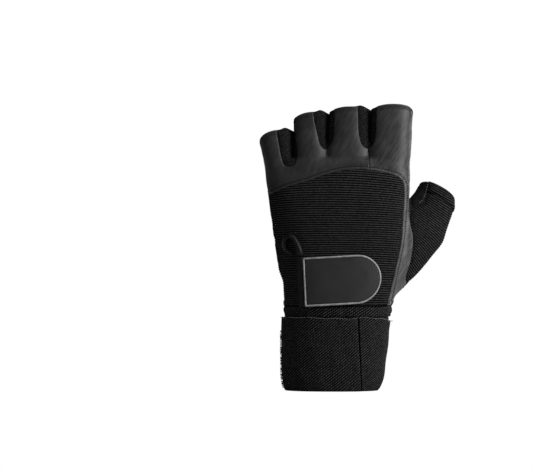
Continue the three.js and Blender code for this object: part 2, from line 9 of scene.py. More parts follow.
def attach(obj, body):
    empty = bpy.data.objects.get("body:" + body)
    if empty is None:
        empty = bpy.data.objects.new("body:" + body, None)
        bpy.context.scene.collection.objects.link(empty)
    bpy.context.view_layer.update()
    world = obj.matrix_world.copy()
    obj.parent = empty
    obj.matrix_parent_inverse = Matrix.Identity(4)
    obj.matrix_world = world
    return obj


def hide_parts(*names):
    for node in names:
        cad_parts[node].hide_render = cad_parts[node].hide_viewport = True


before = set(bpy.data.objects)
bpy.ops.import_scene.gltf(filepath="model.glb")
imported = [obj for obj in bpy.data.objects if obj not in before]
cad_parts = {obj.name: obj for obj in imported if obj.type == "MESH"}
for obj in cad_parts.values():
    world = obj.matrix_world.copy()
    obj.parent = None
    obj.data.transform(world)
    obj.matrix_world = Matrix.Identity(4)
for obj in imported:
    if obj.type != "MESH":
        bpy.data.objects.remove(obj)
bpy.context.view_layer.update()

# Numbers below are millimetres in the glove's own frame, whose x starts at the middle of
# the hand. makePiece turns them into metres in the row frame.
mm = 0.001
rowShift = np.array([-17.763, 0.591, 0.0])

# The glove's sizes, as the solids have them
wristWidth, wristDepth = 76.0, 48.0
handWidth, handDepth = 108.0, 34.0
palmLength, fingerReach, fingerDepth = 100.0, 45.6, 23.0
fingerCurl, rimRise, rimDrop = 12.0, 4.6, 0.8
thumbDepth, thumbLean, thumbRimDrop = 26.0, 14.0, 9.0
wrapHeight, wrapThickness, wrapTurns, wrapEnd = 53.0, 1.2, 2.3, 17.0
cuffWidth, cuffDepth, cuffShift = 80.4, 54.0, 2.0
bandShow, bandSkirt, seamGap = 7.4, 15.0, 0.3
tabLength, tabHeight, tabThickness, tabSlant = 56.0, 35.0, 2.4, 1.6
pipingWidth, anchorWidth, anchorThickness = 1.4, 4.2, 1.2
waistbandRise = 4.0
waistZ = wrapHeight + bandShow + seamGap
knuckleZ = waistZ + palmLength
tipZ = knuckleZ + fingerReach
palmPower, fingerPower, thumbPower, cuffPower = 2.5, 2.4, 2.2, 2.3

# up, grow, shift, deep
palmSections = np.array([
    (0.000, 0.00, 0.024, 0.00), (0.100, 0.17, 0.044, 0.04), (0.175, 0.30, 0.058, 0.08),
    (0.255, 0.50, 0.062, 0.16), (0.355, 0.63, 0.067, 0.28), (0.477, 0.71, 0.061, 0.42),
    (0.620, 0.75, 0.048, 0.57), (0.780, 0.79, 0.034, 0.75), (0.930, 0.90, 0.025, 1.00),
    (1.050, 0.90, 0.022, 1.42),
])
# rim, slope, for the little, ring, middle and index finger
fingerRims = [(0.47, 0.17), (0.76, 0.12), (0.85, 0.03), (0.89, 0.03)]
fingerNames = ["little", "ring", "middle", "index"]
# foot, tip, crotch
fingerLines = [
    (-0.462, -0.553, 0.00), (-0.277, -0.287, 0.15), (-0.058, -0.046, 0.42),
    (0.234, 0.228, 0.43), (0.506, 0.530, 0.00),
]
# outer, outerUp, inner, innerUp, thick, lean
thumbSections = np.array([
    (0.385, 0.05, 0.18, 0.17, 1.00, 0.10), (0.480, 0.15, 0.22, 0.31, 1.22, 0.20),
    (0.568, 0.25, 0.26, 0.47, 1.28, 0.32), (0.655, 0.36, 0.33, 0.61, 1.24, 0.46),
    (0.720, 0.45, 0.41, 0.70, 1.18, 0.58), (0.748, 0.54, 0.48, 0.75, 1.10, 0.72),
    (0.785, 0.65, 0.54, 0.82, 1.02, 0.87), (0.810, 0.75, 0.58, 0.89, 1.00, 1.00),
])
# up, left, right, deep
cuffSections = np.array([
    (0.00, 0.95, 0.78, 0.86), (0.10, 0.98, 0.84, 0.90), (0.45, 1.00, 0.92, 0.96),
    (1.00, 1.00, 1.00, 1.00),
])
# Seams: across as a share of the hand's width, up as a share of the palm's length
seams = {
    "hem": [
        (-0.600, 0.700), (-0.433, 0.796), (-0.315, 0.849), (-0.168, 0.896), (-0.070, 0.934),
        (0.067, 0.970), (0.237, 0.972), (0.355, 0.948), (0.425, 0.923), (0.458, 0.888),
        (0.467, 0.825), (0.462, 0.705), (0.440, 0.437), (0.407, 0.276), (0.345, -0.040),
    ],
    "strip": [
        (0.620, 1.000), (0.540, 0.900), (0.508, 0.815), (0.503, 0.705), (0.507, 0.592),
        (0.524, 0.508), (0.524, 0.437), (0.508, 0.317), (0.478, 0.190), (0.520, 0.060),
    ],
    "webBack": [(0.650, 0.960), (0.628, 0.860), (0.586, 0.750), (0.470, 0.690)],
    "pad": [(0.535, 0.878), (0.510, 0.874), (0.033, 0.852), (-0.600, 0.836)],
    "suede": [
        (0.620, 0.950), (0.564, 0.772), (0.538, 0.672), (0.510, 0.613), (0.443, 0.534),
        (0.381, 0.487), (0.306, 0.420), (0.231, 0.380), (0.130, 0.334), (-0.087, 0.297),
        (-0.600, 0.290),
    ],
    "heel": [
        (0.088, 0.328), (0.104, 0.231), (0.186, 0.137), (0.315, 0.098), (0.388, 0.105),
        (0.457, 0.145), (0.600, 0.260),
    ],
    "rib": [
        (0.740, 0.860), (0.693, 0.724), (0.615, 0.584), (0.467, 0.326), (0.404, 0.211),
        (0.314, 0.098),
    ],
    "web": [
        (0.560, 0.920), (0.524, 0.883), (0.429, 0.784), (0.347, 0.690), (0.279, 0.584),
        (0.143, 0.411), (0.098, 0.324),
    ],
}
gussets = [
    [(-0.378, 1.600), (-0.378, 1.240), (-0.361, 1.134), (-0.348, 1.065), (-0.330, 1.012),
     (-0.297, 0.999), (-0.262, 1.020), (-0.248, 1.080), (-0.262, 1.237), (-0.268, 1.600)],
    [(-0.134, 1.600), (-0.134, 1.361), (-0.105, 1.220), (-0.089, 1.161), (-0.057, 1.127),
     (-0.027, 1.161), (-0.010, 1.211), (-0.003, 1.600)],
    [(0.160, 1.600), (0.163, 1.312), (0.172, 1.211), (0.193, 1.154), (0.228, 1.135),
     (0.257, 1.161), (0.275, 1.236), (0.280, 1.600)],
]
tipBandDepth = 0.28
far = 50.0        # a distance past every seam


# Curves and fields


def smoothstep(value, low, high):
    t = np.clip((value - low) / (high - low), 0, 1)
    return t * t * (3 - 2 * t)


def tableValue(knots, values, at):
    slopes = np.gradient(values, knots)
    k = np.clip(np.searchsorted(knots, at) - 1, 0, len(knots) - 2)
    step = knots[k + 1] - knots[k]
    t = np.clip((at - knots[k]) / step, 0, 1)
    rise = t * t * (3 - 2 * t)
    return (values[k] * (1 - rise) + values[k + 1] * rise
            + step * slopes[k] * t * (1 - t) ** 2 - step * slopes[k + 1] * t * t * (1 - t))


def smoothLine(shares, perSpan=8):
    points = np.array(shares) * (handWidth, palmLength) + (0, waistZ)
    ends = np.vstack([2 * points[0] - points[1], points, 2 * points[-1] - points[-2]])
    line = []
    for k in range(1, len(ends) - 2):
        p0, p1, p2, p3 = ends[k - 1:k + 3]
        spans = [max(1e-6, np.linalg.norm(b - a)) ** 0.5 for a, b in ((p0, p1), (p1, p2), (p2, p3))]
        m1 = spans[1] * ((p1 - p0) / spans[0] - (p2 - p0) / (spans[0] + spans[1])) + (p2 - p1)
        m2 = spans[1] * ((p3 - p2) / spans[2] - (p3 - p1) / (spans[1] + spans[2])) + (p2 - p1)
        for t in np.arange(perSpan) / perSpan:
            rise = t * t * (3 - 2 * t)
            line.append(p1 * (1 - rise) + p2 * rise
                        + m1 * t * (1 - t) ** 2 - m2 * t * t * (1 - t))
    return np.array(line + [points[-1]])


def place(across, up):
    return (across * handWidth, waistZ + up * palmLength)


def segmentDistance(points, starts, ends):
    # distance, seen from the front, to the nearest of some straight pieces
    x, z = points[:, 0], points[:, 2]
    nearest = np.full(len(points), 1e9)
    for (ax, az), (bx, bz) in zip(starts, ends):
        dx, dz = bx - ax, bz - az
        t = np.clip(((x - ax) * dx + (z - az) * dz) / max(dx * dx + dz * dz, 1e-9), 0, 1)
        nearest = np.minimum(nearest, (x - ax - t * dx) ** 2 + (z - az - t * dz) ** 2)
    return np.sqrt(nearest)


def outlineDistance(points, outline):
    # distance to a closed outline seen from the front, positive inside
    x, z = points[:, 0], points[:, 2]
    ends = np.roll(outline, -1, axis=0)
    inside = np.zeros(len(points), bool)
    for (ax, az), (bx, bz) in zip(outline, ends):
        slope = (bx - ax) / (bz - az) if bz != az else 0.0
        inside ^= ((az > z) != (bz > z)) & (x < ax + (z - az) * slope)
    return segmentDistance(points, outline, ends) * np.where(inside, 1, -1)


def lineDistance(points, line):
    return segmentDistance(points, line[:-1], line[1:])


def spineY(z):
    return fingerCurl * np.maximum(0, (z - waistZ) / (tipZ - waistZ)) ** 3


def thumbMiddleY(z):
    ups = (thumbSections[:, 1] + thumbSections[:, 3]) / 2
    return np.interp((z - waistZ) / palmLength, ups, thumbSections[:, 5]) * thumbLean


thumbSide = np.array([place(*share) for share in [
    (0.50, 0.20), (2.00, 0.20), (2.00, 3.00), (0.56, 3.00), (0.535, 0.885), (0.522, 0.80),
    (0.50, 0.75),
]])


def middleY(points):
    x, z = points[:, 0], points[:, 2]
    onThumb = smoothstep(outlineDistance(points, thumbSide), -3, 3)
    return thumbMiddleY(z) * onThumb + spineY(z) * (1 - onThumb)


gapBow = {"middle": 3.0, "depth": 8.0}       # the gap between two fingers is bent, front to back


def fingerLineX(k, z, y=None):
    foot, tip, crotch = fingerLines[k]
    x = (foot + (tip - foot) * (z - knuckleZ) / fingerReach) * handWidth
    if y is None or crotch == 0:
        return x
    crotchZ = knuckleZ + crotch * fingerReach
    rise = smoothstep(z, crotchZ - 9, crotchZ - 1)
    away = np.clip((y - spineY(z)) / gapBow["depth"], -1, 1)
    return x + rise * gapBow["middle"] * np.cos(math.pi / 2 * away) ** 2


def fingerOf(points):
    z, y = points[:, 2], points[:, 1]
    return sum((points[:, 0] > fingerLineX(k, z, y)).astype(int) for k in (1, 2, 3))


rimShape = {"knitAt": 0.86, "knitReach": (0.13, 0.30), "knitRise": 2.0, "arch": 1.3,
            "fall": (3.4, 2.6), "back": 0.8}       # how a finger's rim bends on the back


def rimDistance(points):
    # distance below the rim of the finger that the point is on, or of the thumb
    x, y, z = points.T
    finger = fingerOf(points)
    left = np.choose(finger, [fingerLineX(k, z) for k in range(4)])
    right = np.choose(finger, [fingerLineX(k + 1, z) for k in range(4)])
    rims = np.array(fingerRims)[finger]
    depth = (y - spineY(z)) / (fingerDepth / 2)
    high = 1 - (1 - np.clip(-depth, 0, 1)) ** 2
    bow = np.where(depth < 0, rimRise * high, -rimDrop * depth)
    share = np.clip((x - left) / (right - left), 0, 1)
    knitAt = rimShape["knitAt"]
    reach = np.where(share < knitAt, *rimShape["knitReach"])
    knit = np.where(finger < 3, np.exp(-((share - knitAt) / reach) ** 2), 0) * rimShape["knitRise"]
    arch = rimShape["arch"] - np.where(share < 0.5, *rimShape["fall"]) * (2 * share - 1) ** 2
    rim = knuckleZ + rims[:, 0] * fingerReach + rims[:, 1] * (x - (left + right) / 2)
    distance = rim + bow * rimShape["back"] + (knit + arch) * (depth < 0) - z
    outer, inner = thumbSections[-1, :2], thumbSections[-1, 2:4]
    a, b = np.array(place(*outer)), np.array(place(*inner))
    across = (a - b) / np.linalg.norm(a - b)
    middle = (a + b) / 2
    along = np.array([-across[1], across[0]])
    high = (x - middle[0]) * along[0] + (z - middle[1]) * along[1]
    side = (y - thumbLean) / (thumbDepth / 2)
    thumb = -side * thumbRimDrop / 2 - high
    onThumb = outlineDistance(points, thumbSide) > 0
    return np.where(onThumb & (x > 0.53 * handWidth), thumb, distance)


# The skin of the hand: palm, fingers and thumb as tubes, joined and smoothed
skinLook = {"voxel": 0.76, "palmRows": 130, "palmSides": 150, "fingerRows": 70, "fingerSides": 72,
            "thumbRows": 90, "thumbSides": 90, "gapHalf": 1.15, "smooth": 6,
            "relaxRounds": 90}
relaxZone = {"palm": (24, 8), "fingers": (3, 9), "ball": (48, 28, 11, 22)}


def squareRound(angles, halfWidth, halfDepth, power):
    c, s = np.cos(angles), np.sin(angles)
    scale = (np.abs(c) ** power + np.abs(s) ** power) ** (-1 / power)
    return halfWidth * c * scale, halfDepth * s * scale


def palmSize(z, outset):
    # half width, half depth and middle of the palm at a height
    up = np.clip((z - waistZ) / palmLength, 0, 1.05)
    grow, shift, deep = (tableValue(palmSections[:, 0], palmSections[:, k], up) for k in (1, 2, 3))
    halfWidth = (wristWidth + (handWidth - wristWidth) * grow) / 2 + outset
    halfDepth = (wristDepth + (handDepth - wristDepth) * deep) / 2 + outset
    return halfWidth, halfDepth, shift * handWidth


def palmPoint(angle, z, outset):
    halfWidth, halfDepth, middle = palmSize(z, outset)
    x, y = squareRound(angle, halfWidth, halfDepth, palmPower)
    return np.stack([middle + x, spineY(z) + y, z + 0 * x], axis=-1)


def palmGrid():
    angles = np.linspace(0, 2 * math.pi, skinLook["palmSides"], endpoint=False)
    heights = np.linspace(waistZ - 4, waistZ + 1.05 * palmLength, skinLook["palmRows"])
    return palmPoint(angles[None, :], heights[:, None], 0.0)


def fingerGrid(index):
    rim = fingerRims[index][0]
    rootZ, rimZ = knuckleZ - 0.11 * palmLength, knuckleZ + rim * fingerReach
    angles = np.linspace(0, 2 * math.pi, skinLook["fingerSides"], endpoint=False)
    rings = []
    for z in np.linspace(rootZ, rimZ + 11, skinLook["fingerRows"]):
        share = min(1.0, (z - rootZ) / (rimZ - rootZ))
        tuck = (1 - smoothstep(share, 0, 0.35)) * 0.16
        edges = []
        for k, sign in ((index, 1), (index + 1, -1)):
            crotch = fingerLines[k][2]
            opened = 0.0
            if crotch:
                crotchZ = knuckleZ + crotch * fingerReach
                opened = -2.4 + (2.4 + skinLook["gapHalf"]) * smoothstep(z, crotchZ - 7, crotchZ + 1.5)
            edges.append(fingerLineX(k, z) + sign * opened)
        halfWidth = (edges[1] - edges[0]) / 2 * (1 - tuck)
        halfDepthHere = fingerDepth / 2 * (1.2 - 0.2 * share - tuck)
        x, y = squareRound(angles, halfWidth, halfDepthHere, fingerPower)
        rings.append(np.stack([sum(edges) / 2 + x, spineY(z) + y, z + 0 * x], axis=-1))
    return np.array(rings)


def thumbRow(t):
    k = np.arange(len(thumbSections), dtype=float)
    row = [tableValue(k, thumbSections[:, c], np.clip(t, 0, k[-1])) for c in range(6)]
    outer = np.array(place(row[0], row[1]))
    inner = np.array(place(row[2], row[3]))
    return outer, inner, row[4], row[5]


def thumbGrid():
    angles = np.linspace(0, 2 * math.pi, skinLook["thumbSides"], endpoint=False)
    rings = []
    last = len(thumbSections) - 1
    for t in np.linspace(0, last + 1.2, skinLook["thumbRows"]):
        outer, inner, thick, lean = thumbRow(min(t, last))
        across = (outer - inner) / np.linalg.norm(outer - inner)
        along = np.array([-across[1], across[0]])
        a, b = squareRound(angles, np.linalg.norm(outer - inner) / 2, thick * thumbDepth / 2, thumbPower)
        past = max(0.0, t - last) * 9
        middle = (outer + inner) / 2 + along * past
        x = middle[0] + across[0] * a
        z = middle[1] + across[1] * a
        rings.append(np.stack([x, lean * thumbLean + b, z], axis=-1))
    return np.array(rings)


def gridMesh(grid):
    # closed skin over a row of equal closed sections
    rows, sides = grid.shape[:2]
    at = np.arange(rows * sides).reshape(rows, sides)
    right = np.roll(at, -1, axis=1)
    faces = np.stack([at[:-1], right[:-1], right[1:], at[1:]], axis=-1).reshape(-1, 4).tolist()
    return grid.reshape(-1, 3), faces + [at[0][::-1].tolist(), at[-1].tolist()]


def closedFaces(rows, sides):
    # faces of a grid that closes on itself both ways
    at = np.arange(rows * sides).reshape(rows, sides)
    right, after = np.roll(at, -1, axis=1), np.roll(at, -1, axis=0)
    return np.stack([at, right, np.roll(right, -1, axis=0), after], axis=-1).reshape(-1, 4).tolist()


def openFaces(rows, columns):
    # faces of an open grid, as rows of eight corners with -1 for those unused
    at = np.arange(rows * columns).reshape(rows, columns)
    quads = np.stack([at[:-1, :-1], at[:-1, 1:], at[1:, 1:], at[1:, :-1]], axis=-1).reshape(-1, 4)
    return np.hstack([quads, np.full((len(quads), 4), -1)])


def toRow(points):
    return (np.asarray(points, float) + rowShift) * mm


def newObject(name, points, faces, edges=()):
    mesh = bpy.data.meshes.new(name)
    mesh.from_pydata(toRow(points).tolist(), list(edges), [tuple(f) for f in faces])
    mesh.validate()
    obj = bpy.data.objects.new(name, mesh)
    bpy.context.scene.collection.objects.link(obj)
    return obj


def meshArrays(obj):
    graph = bpy.context.evaluated_depsgraph_get()
    mesh = obj.evaluated_get(graph).to_mesh()
    points = np.zeros(len(mesh.vertices) * 3)
    mesh.vertices.foreach_get("co", points)
    faces = np.full((len(mesh.polygons), 8), -1)
    counts = np.zeros(len(mesh.polygons), int)
    mesh.polygons.foreach_get("loop_total", counts)
    corners = np.zeros(len(mesh.loops), int)
    mesh.loops.foreach_get("vertex_index", corners)
    starts = np.concatenate([[0], np.cumsum(counts)[:-1]])
    for k in range(counts.max()):
        has = counts > k
        faces[has, k] = corners[starts[has] + k]
    obj.evaluated_get(graph).to_mesh_clear()
    return points.reshape(-1, 3) / mm - rowShift, faces


gapSqueeze = {"start": 2.8, "full": 0.6, "slit": 0.15, "wallAt": 1.1, "reach": 4.0, "bowReach": 6.0}


def squeezeGaps(points):
    # brings neighbouring fingers nearly together and bends the gap, so no light passes
    gap = gapSqueeze
    x, y, z = points.T.copy()
    for k in (1, 2, 3):
        crotchZ = knuckleZ + fingerLines[k][2] * fingerReach
        rise = smoothstep(z, crotchZ - gap["start"], crotchZ - gap["full"])
        away = x - fingerLineX(k, z)
        nearWall = np.exp(-((np.abs(away) - gap["wallAt"]) / gap["reach"]) ** 2)
        squeeze = (skinLook["gapHalf"] - gap["slit"]) * rise * nearWall
        bow = fingerLineX(k, z, y) - fingerLineX(k, z)
        near = np.exp(-(away / gap["bowReach"]) ** 2)
        x = x - np.sign(away) * np.minimum(squeeze, np.abs(away)) + bow * near
    return np.stack([x, y, z], axis=-1)


def relax(points, faces, weight, rounds):
    # evens out a surface where weight is high
    pairs = np.vstack([faces[:, [k, (k + 1) % 4]] for k in range(4)])
    pairs = np.vstack([pairs, pairs[:, ::-1]])
    near = pairs[weight[pairs[:, 0]] > 0.01]
    count = np.maximum(np.bincount(near[:, 0], minlength=len(points)), 1)
    for _ in range(rounds):
        mean = np.stack([np.bincount(near[:, 0], points[near[:, 1], c], len(points)) / count
                         for c in range(3)], axis=1)
        points = points + (0.5 * weight * (weight > 0.01))[:, None] * (mean - points)
    return points


def makeSkin():
    grids = [palmGrid(), thumbGrid()] + [fingerGrid(k) for k in range(4)]
    points, faces = [], []
    for grid in grids:
        start = sum(len(p) for p in points)
        p, f = gridMesh(grid)
        points.append(p)
        faces += [[start + i for i in face] for face in f]
    obj = newObject("skinSource", np.vstack(points), faces)
    remesh = obj.modifiers.new("remesh", "REMESH")
    remesh.mode, remesh.voxel_size = "VOXEL", skinLook["voxel"] * mm
    smooth = obj.modifiers.new("smooth", "SMOOTH")
    smooth.factor, smooth.iterations = 0.5, skinLook["smooth"]
    points, faces = meshArrays(obj)
    bpy.data.objects.remove(obj)
    x, y, z = points.T
    low, high = relaxZone["palm"]
    weight = smoothstep(z, knuckleZ - low, knuckleZ - high) * (x < 0.55 * handWidth)
    low, high = relaxZone["fingers"]
    weight = weight * (1 - smoothstep(z, knuckleZ + low, knuckleZ + high))
    ballX, ballZ, across, up = relaxZone["ball"]
    ball = np.exp(-((x - ballX) / across) ** 2 - ((z - waistZ - ballZ) / up) ** 2) * smoothstep(y, 2, 8)
    points = relax(points, faces, np.maximum(weight, ball), skinLook["relaxRounds"])
    return squeezeGaps(points), faces


skinPoints, skinFaces = makeSkin()
print("skin", len(skinPoints), "points")


def vertexNormals(points, faces):
    normals = np.zeros_like(points)
    for k in range(2, faces.shape[1]):
        has = faces[:, k] >= 0
        a, b, c = (faces[has, j] for j in (0, k - 1, k))
        n = np.cross(points[b] - points[a], points[c] - points[a])
        for corner in (a, b, c):
            np.add.at(normals, corner, n)
    return normals / np.maximum(np.linalg.norm(normals, axis=1, keepdims=True), 1e-12)


skinTree = BVHTree.FromPolygons(
    skinPoints.tolist(), [[i for i in f if i >= 0] for f in skinFaces.tolist()])


def cutMesh(points, faces, values, keepBoth=False):
    # splits each face that the zero line of values crosses, and keeps the positive side
    values = np.where(np.abs(values) < 0.06, 0.0, values)
    used = faces >= 0
    faceValues = np.where(used, values[faces], 0)
    low, high = faceValues.min(axis=1), faceValues.max(axis=1)
    whole = faces[(low >= 0) & (high > 0)]
    parts = [whole]
    if keepBoth:
        parts.append(faces[(high <= 0)])
    fresh, made, cut = [], {}, []
    for face in faces[(low < 0) & (high > 0)]:
        loop = [int(i) for i in face if i >= 0]
        sides = ([], [])
        for a, b in zip(loop, loop[1:] + loop[:1]):
            if values[a] >= 0:
                sides[0].append(a)
            if values[a] <= 0:
                sides[1].append(a)
            if values[a] * values[b] < 0:
                key = (min(a, b), max(a, b))
                if key not in made:
                    t = values[a] / (values[a] - values[b])
                    made[key] = len(points) + len(fresh)
                    fresh.append(points[a] + (points[b] - points[a]) * t)
                sides[0].append(made[key])
                sides[1].append(made[key])
        for side in sides[: 2 if keepBoth else 1]:
            if 3 <= len(side) <= 8:
                cut.append(side + [-1] * (8 - len(side)))
    if cut:
        parts.append(np.array(cut))
    points = np.vstack([points, fresh]) if fresh else points
    faces = np.vstack(parts)
    kept = np.unique(faces[faces >= 0])
    renumber = np.full(len(points) + 1, -1)
    renumber[kept] = np.arange(len(kept))
    return points[kept], renumber[faces]


def panelMesh(field, source=None, edgeLoops=(0.4, 1.0, 1.8, 2.5, 3.2), gap=0.02):
    points, faces = source if source is not None else (skinPoints, skinFaces)
    points, faces = cutMesh(points, faces, field(points) - gap)
    for loop in edgeLoops:
        points, faces = cutMesh(points, faces, field(points) - gap - loop, keepBoth=True)
    return points, faces, field(points) - gap


def rollEdges(points, faces, edge, radius, depth=None):
    # turns the border of a panel down towards the inside
    t = np.clip(edge / radius, 0, 1)
    drop = (depth or radius) * (1 - np.sqrt(1 - (1 - t) ** 2))
    return points - vertexNormals(points, faces) * drop[:, None]


def wrinkle(points, size, seed):
    # soft unevenness made of a few turned waves
    generator = np.random.default_rng(seed)
    total = np.zeros(len(points))
    for _ in range(9):
        direction = generator.normal(size=3)
        direction /= np.linalg.norm(direction)
        length = size * generator.uniform(0.7, 1.8)
        bend = np.sin(points @ generator.normal(size=3) / (length * 1.7)) * 0.8
        total += np.sin(points @ direction * 2 * math.pi / length + generator.uniform(0, 6) + bend)
    return total / 9


# Panels, each as a field that is positive inside

curves = {name: smoothLine(line) for name, line in seams.items()}
gussetCurves = [smoothLine(line) for line in gussets]


def span(name, low=-9.0, high=9.0, axis=0, turned=False):
    # the part of a seam between two shares of the hand's width or of the palm's length
    line = curves[name]
    share = line[:, 0] / handWidth if axis == 0 else (line[:, 1] - waistZ) / palmLength
    part = line[(share >= low) & (share <= high)]
    return part[::-1] if turned else part


def outline(*parts):
    rows = []
    for part in parts:
        rows += [place(*part)] if isinstance(part, tuple) else part.tolist()
    return np.array(rows)


backOutlines = {
    "knuckle": outline((-0.75, 0.68), span("hem", high=0.239), (0.240, 0.968), (0.228, 1.15),
                       (0.228, 1.7), (-0.75, 1.7)),
    "index": outline((0.228, 1.7), (0.228, 1.15), (0.240, 0.968), span("hem", low=0.2395),
                     (0.345, -0.1), (0.56, -0.1), span("strip", turned=True), (0.75, 1.0), (0.75, 1.7)),
    "back": outline((-0.75, 0.68), span("hem"), (0.345, -0.1), (-0.75, -0.1)),
    "thumb": outline((0.60, -0.1), span("strip", high=0.700, axis=1, turned=True), (0.545, 0.722),
                     span("webBack", low=0.56, turned=True), (1.2, 0.96), (1.2, -0.1)),
    "web": outline(span("strip", low=0.700, axis=1), (0.545, 0.722),
                   span("webBack", low=0.56, turned=True)),
}
palmOutlines = {
    "upper": outline((0.75, 0.878), span("pad"), (-0.75, 0.836), (-0.75, 1.7), (0.75, 1.7)),
    "lower": outline(span("web", high=0.524, turned=True), span("pad", high=0.515), (-0.75, 0.836),
                     (-0.75, 0.29), span("suede", high=0.098, turned=True)),
    "web": outline(span("web"), span("suede", low=0.105, turned=True)),
    "thumb": outline(span("suede", low=0.09), span("heel", high=0.3145), span("rib", turned=True),
                     (0.80, 1.1), (0.62, 1.1)),
    "heel": outline((-0.75, 0.29), span("suede", high=0.088, turned=True), span("heel"), (0.7, 0.26),
                    (0.7, -0.1), (-0.75, -0.1)),
    "rib": outline(span("rib"), span("heel", low=0.316), (1.2, 0.26), (1.2, 1.3), (0.74, 1.3)),
}


def tipBand(points):
    finger = fingerOf(points)
    z = points[:, 2]
    middle = np.choose(finger, [(fingerLineX(k, z) + fingerLineX(k + 1, z)) / 2 for k in range(4)])
    rims = np.array(fingerRims)[finger]
    line = knuckleZ + (rims[:, 0] - tipBandDepth) * fingerReach + (points[:, 0] - middle) * rims[:, 1]
    return z - line


def panelField(backName=None, palmName=None, finger=None, knit=None, tuck=0.0):
    def field(points):
        side = middleY(points) - points[:, 1]
        back = outlineDistance(points, backOutlines[backName]) if backName else None
        palm = outlineDistance(points, palmOutlines[palmName]) if palmName else None
        if finger is not None:
            palm = np.where(fingerOf(points) == finger, tipBand(points), -far)
        if palmName == "upper":
            palm = np.minimum(palm, -tipBand(points))
        if knit is not None:
            value = outlineDistance(points, gussetCurves[knit])
        elif palm is None:
            value = np.minimum(back, side)
        elif back is None:
            value = np.minimum(palm, -side)
        else:
            onPalm = side < 0
            value = np.where(onPalm, palm, back)
            backOnly, palmOnly = (back > 0) & (palm <= 0), (back <= 0) & (palm > 0)
            value = np.where(backOnly, np.where(onPalm, np.maximum(palm, side), np.minimum(back, side)),
                             value)
            value = np.where(palmOnly, np.where(onPalm, np.minimum(palm, -side), np.maximum(back, -side)),
                             value)
        value = value + tuck
        if knit is None:
            high = points[:, 2] > knuckleZ - 5
            for curve in gussetCurves:
                value = np.minimum(value, np.where(high, -outlineDistance(points, curve), far))
        value = np.minimum(value, rimDistance(points))
        return np.minimum(value, points[:, 2] - waistZ)
    return field


# Materials


def socketValue(nodeOf, name, value):
    nodeOf.inputs[name].default_value = value


def addNode(tree, kind, **settings):
    made = tree.nodes.new(kind)
    for name, value in settings.items():
        setattr(made, name, value)
    return made


def noiseNode(tree, vector, scale, detail=2.0, rough=0.5):
    noise = addNode(tree, "ShaderNodeTexNoise")
    socketValue(noise, "Scale", scale)
    socketValue(noise, "Detail", detail)
    socketValue(noise, "Roughness", rough)
    tree.links.new(vector, noise.inputs["Vector"])
    return noise.outputs["Fac"]


def mathNode(tree, operation, first, second=None, clamp=False):
    made = addNode(tree, "ShaderNodeMath", operation=operation, use_clamp=clamp)
    for index, value in enumerate((first, second)):
        if value is None:
            continue
        if isinstance(value, (int, float)):
            made.inputs[index].default_value = value
        else:
            tree.links.new(value, made.inputs[index])
    return made.outputs[0]


def remap(tree, value, low, high, toLow=0.0, toHigh=1.0):
    made = addNode(tree, "ShaderNodeMapRange")
    tree.links.new(value, made.inputs["Value"])
    for name, number in (("From Min", low), ("From Max", high), ("To Min", toLow), ("To Max", toHigh)):
        socketValue(made, name, number)
    return made.outputs["Result"]


def mixColour(tree, share, first, second):
    made = addNode(tree, "ShaderNodeMix", data_type="RGBA")
    tree.links.new(share, made.inputs[0])
    for index, value in ((6, first), (7, second)):
        if isinstance(value, tuple):
            made.inputs[index].default_value = value
        else:
            tree.links.new(value, made.inputs[index])
    return made.outputs[2]


def grey(value, tint=0.0):
    return (value * (1 - tint), value, value * (1 + tint), 1.0)


def newGroup(name, inputs, outputs):
    group = bpy.data.node_groups.new(name, "ShaderNodeTree")
    for socketName, kind, value in inputs:
        socket = group.interface.new_socket(socketName, in_out="INPUT", socket_type=kind)
        if value is not None:
            socket.default_value = value
    for socketName, kind in outputs:
        group.interface.new_socket(socketName, in_out="OUTPUT", socket_type=kind)
    return group, group.nodes.new("NodeGroupInput"), group.nodes.new("NodeGroupOutput")


def makeGrainGroup():
    # pebbled surface with soft cloudy variation
    group, given, result = newGroup(
        "grain",
        [("Vector", "NodeSocketVector", None), ("Size", "NodeSocketFloat", 0.9),
         ("Cloud", "NodeSocketFloat", 18.0)],
        [("Height", "NodeSocketFloat"), ("Mottle", "NodeSocketFloat")])
    scaled = addNode(group, "ShaderNodeVectorMath", operation="SCALE")
    group.links.new(given.outputs["Vector"], scaled.inputs[0])
    group.links.new(mathNode(group, "DIVIDE", 1000.0, given.outputs["Size"]), scaled.inputs["Scale"])
    cells = addNode(group, "ShaderNodeTexVoronoi", feature="SMOOTH_F1")
    group.links.new(scaled.outputs[0], cells.inputs["Vector"])
    socketValue(cells, "Scale", 1.0)
    fine = noiseNode(group, scaled.outputs[0], 2.3, 3.0)
    height = mathNode(group, "ADD", mathNode(group, "MULTIPLY", cells.outputs["Distance"], -0.8), fine)
    broad = addNode(group, "ShaderNodeVectorMath", operation="SCALE")
    group.links.new(given.outputs["Vector"], broad.inputs[0])
    group.links.new(mathNode(group, "DIVIDE", 1000.0, given.outputs["Cloud"]), broad.inputs["Scale"])
    cloud = noiseNode(group, broad.outputs[0], 1.0, 4.0, 0.6)
    group.links.new(height, result.inputs["Height"])
    group.links.new(cloud, result.inputs["Mottle"])
    return group


grainGroup = makeGrainGroup()


def newMaterial(name, gloss=0.5):
    material = bpy.data.materials.new(name)
    material.use_nodes = True
    tree = material.node_tree
    shader = tree.nodes["Principled BSDF"]
    socketValue(shader, "Specular IOR Level", gloss)
    return material, tree, shader


def grainNode(tree, size, cloud):
    made = addNode(tree, "ShaderNodeGroup", node_tree=grainGroup)
    where = addNode(tree, "ShaderNodeTexCoord")
    tree.links.new(where.outputs["Object"], made.inputs["Vector"])
    socketValue(made, "Size", size)
    socketValue(made, "Cloud", cloud)
    return made, where.outputs["Object"]


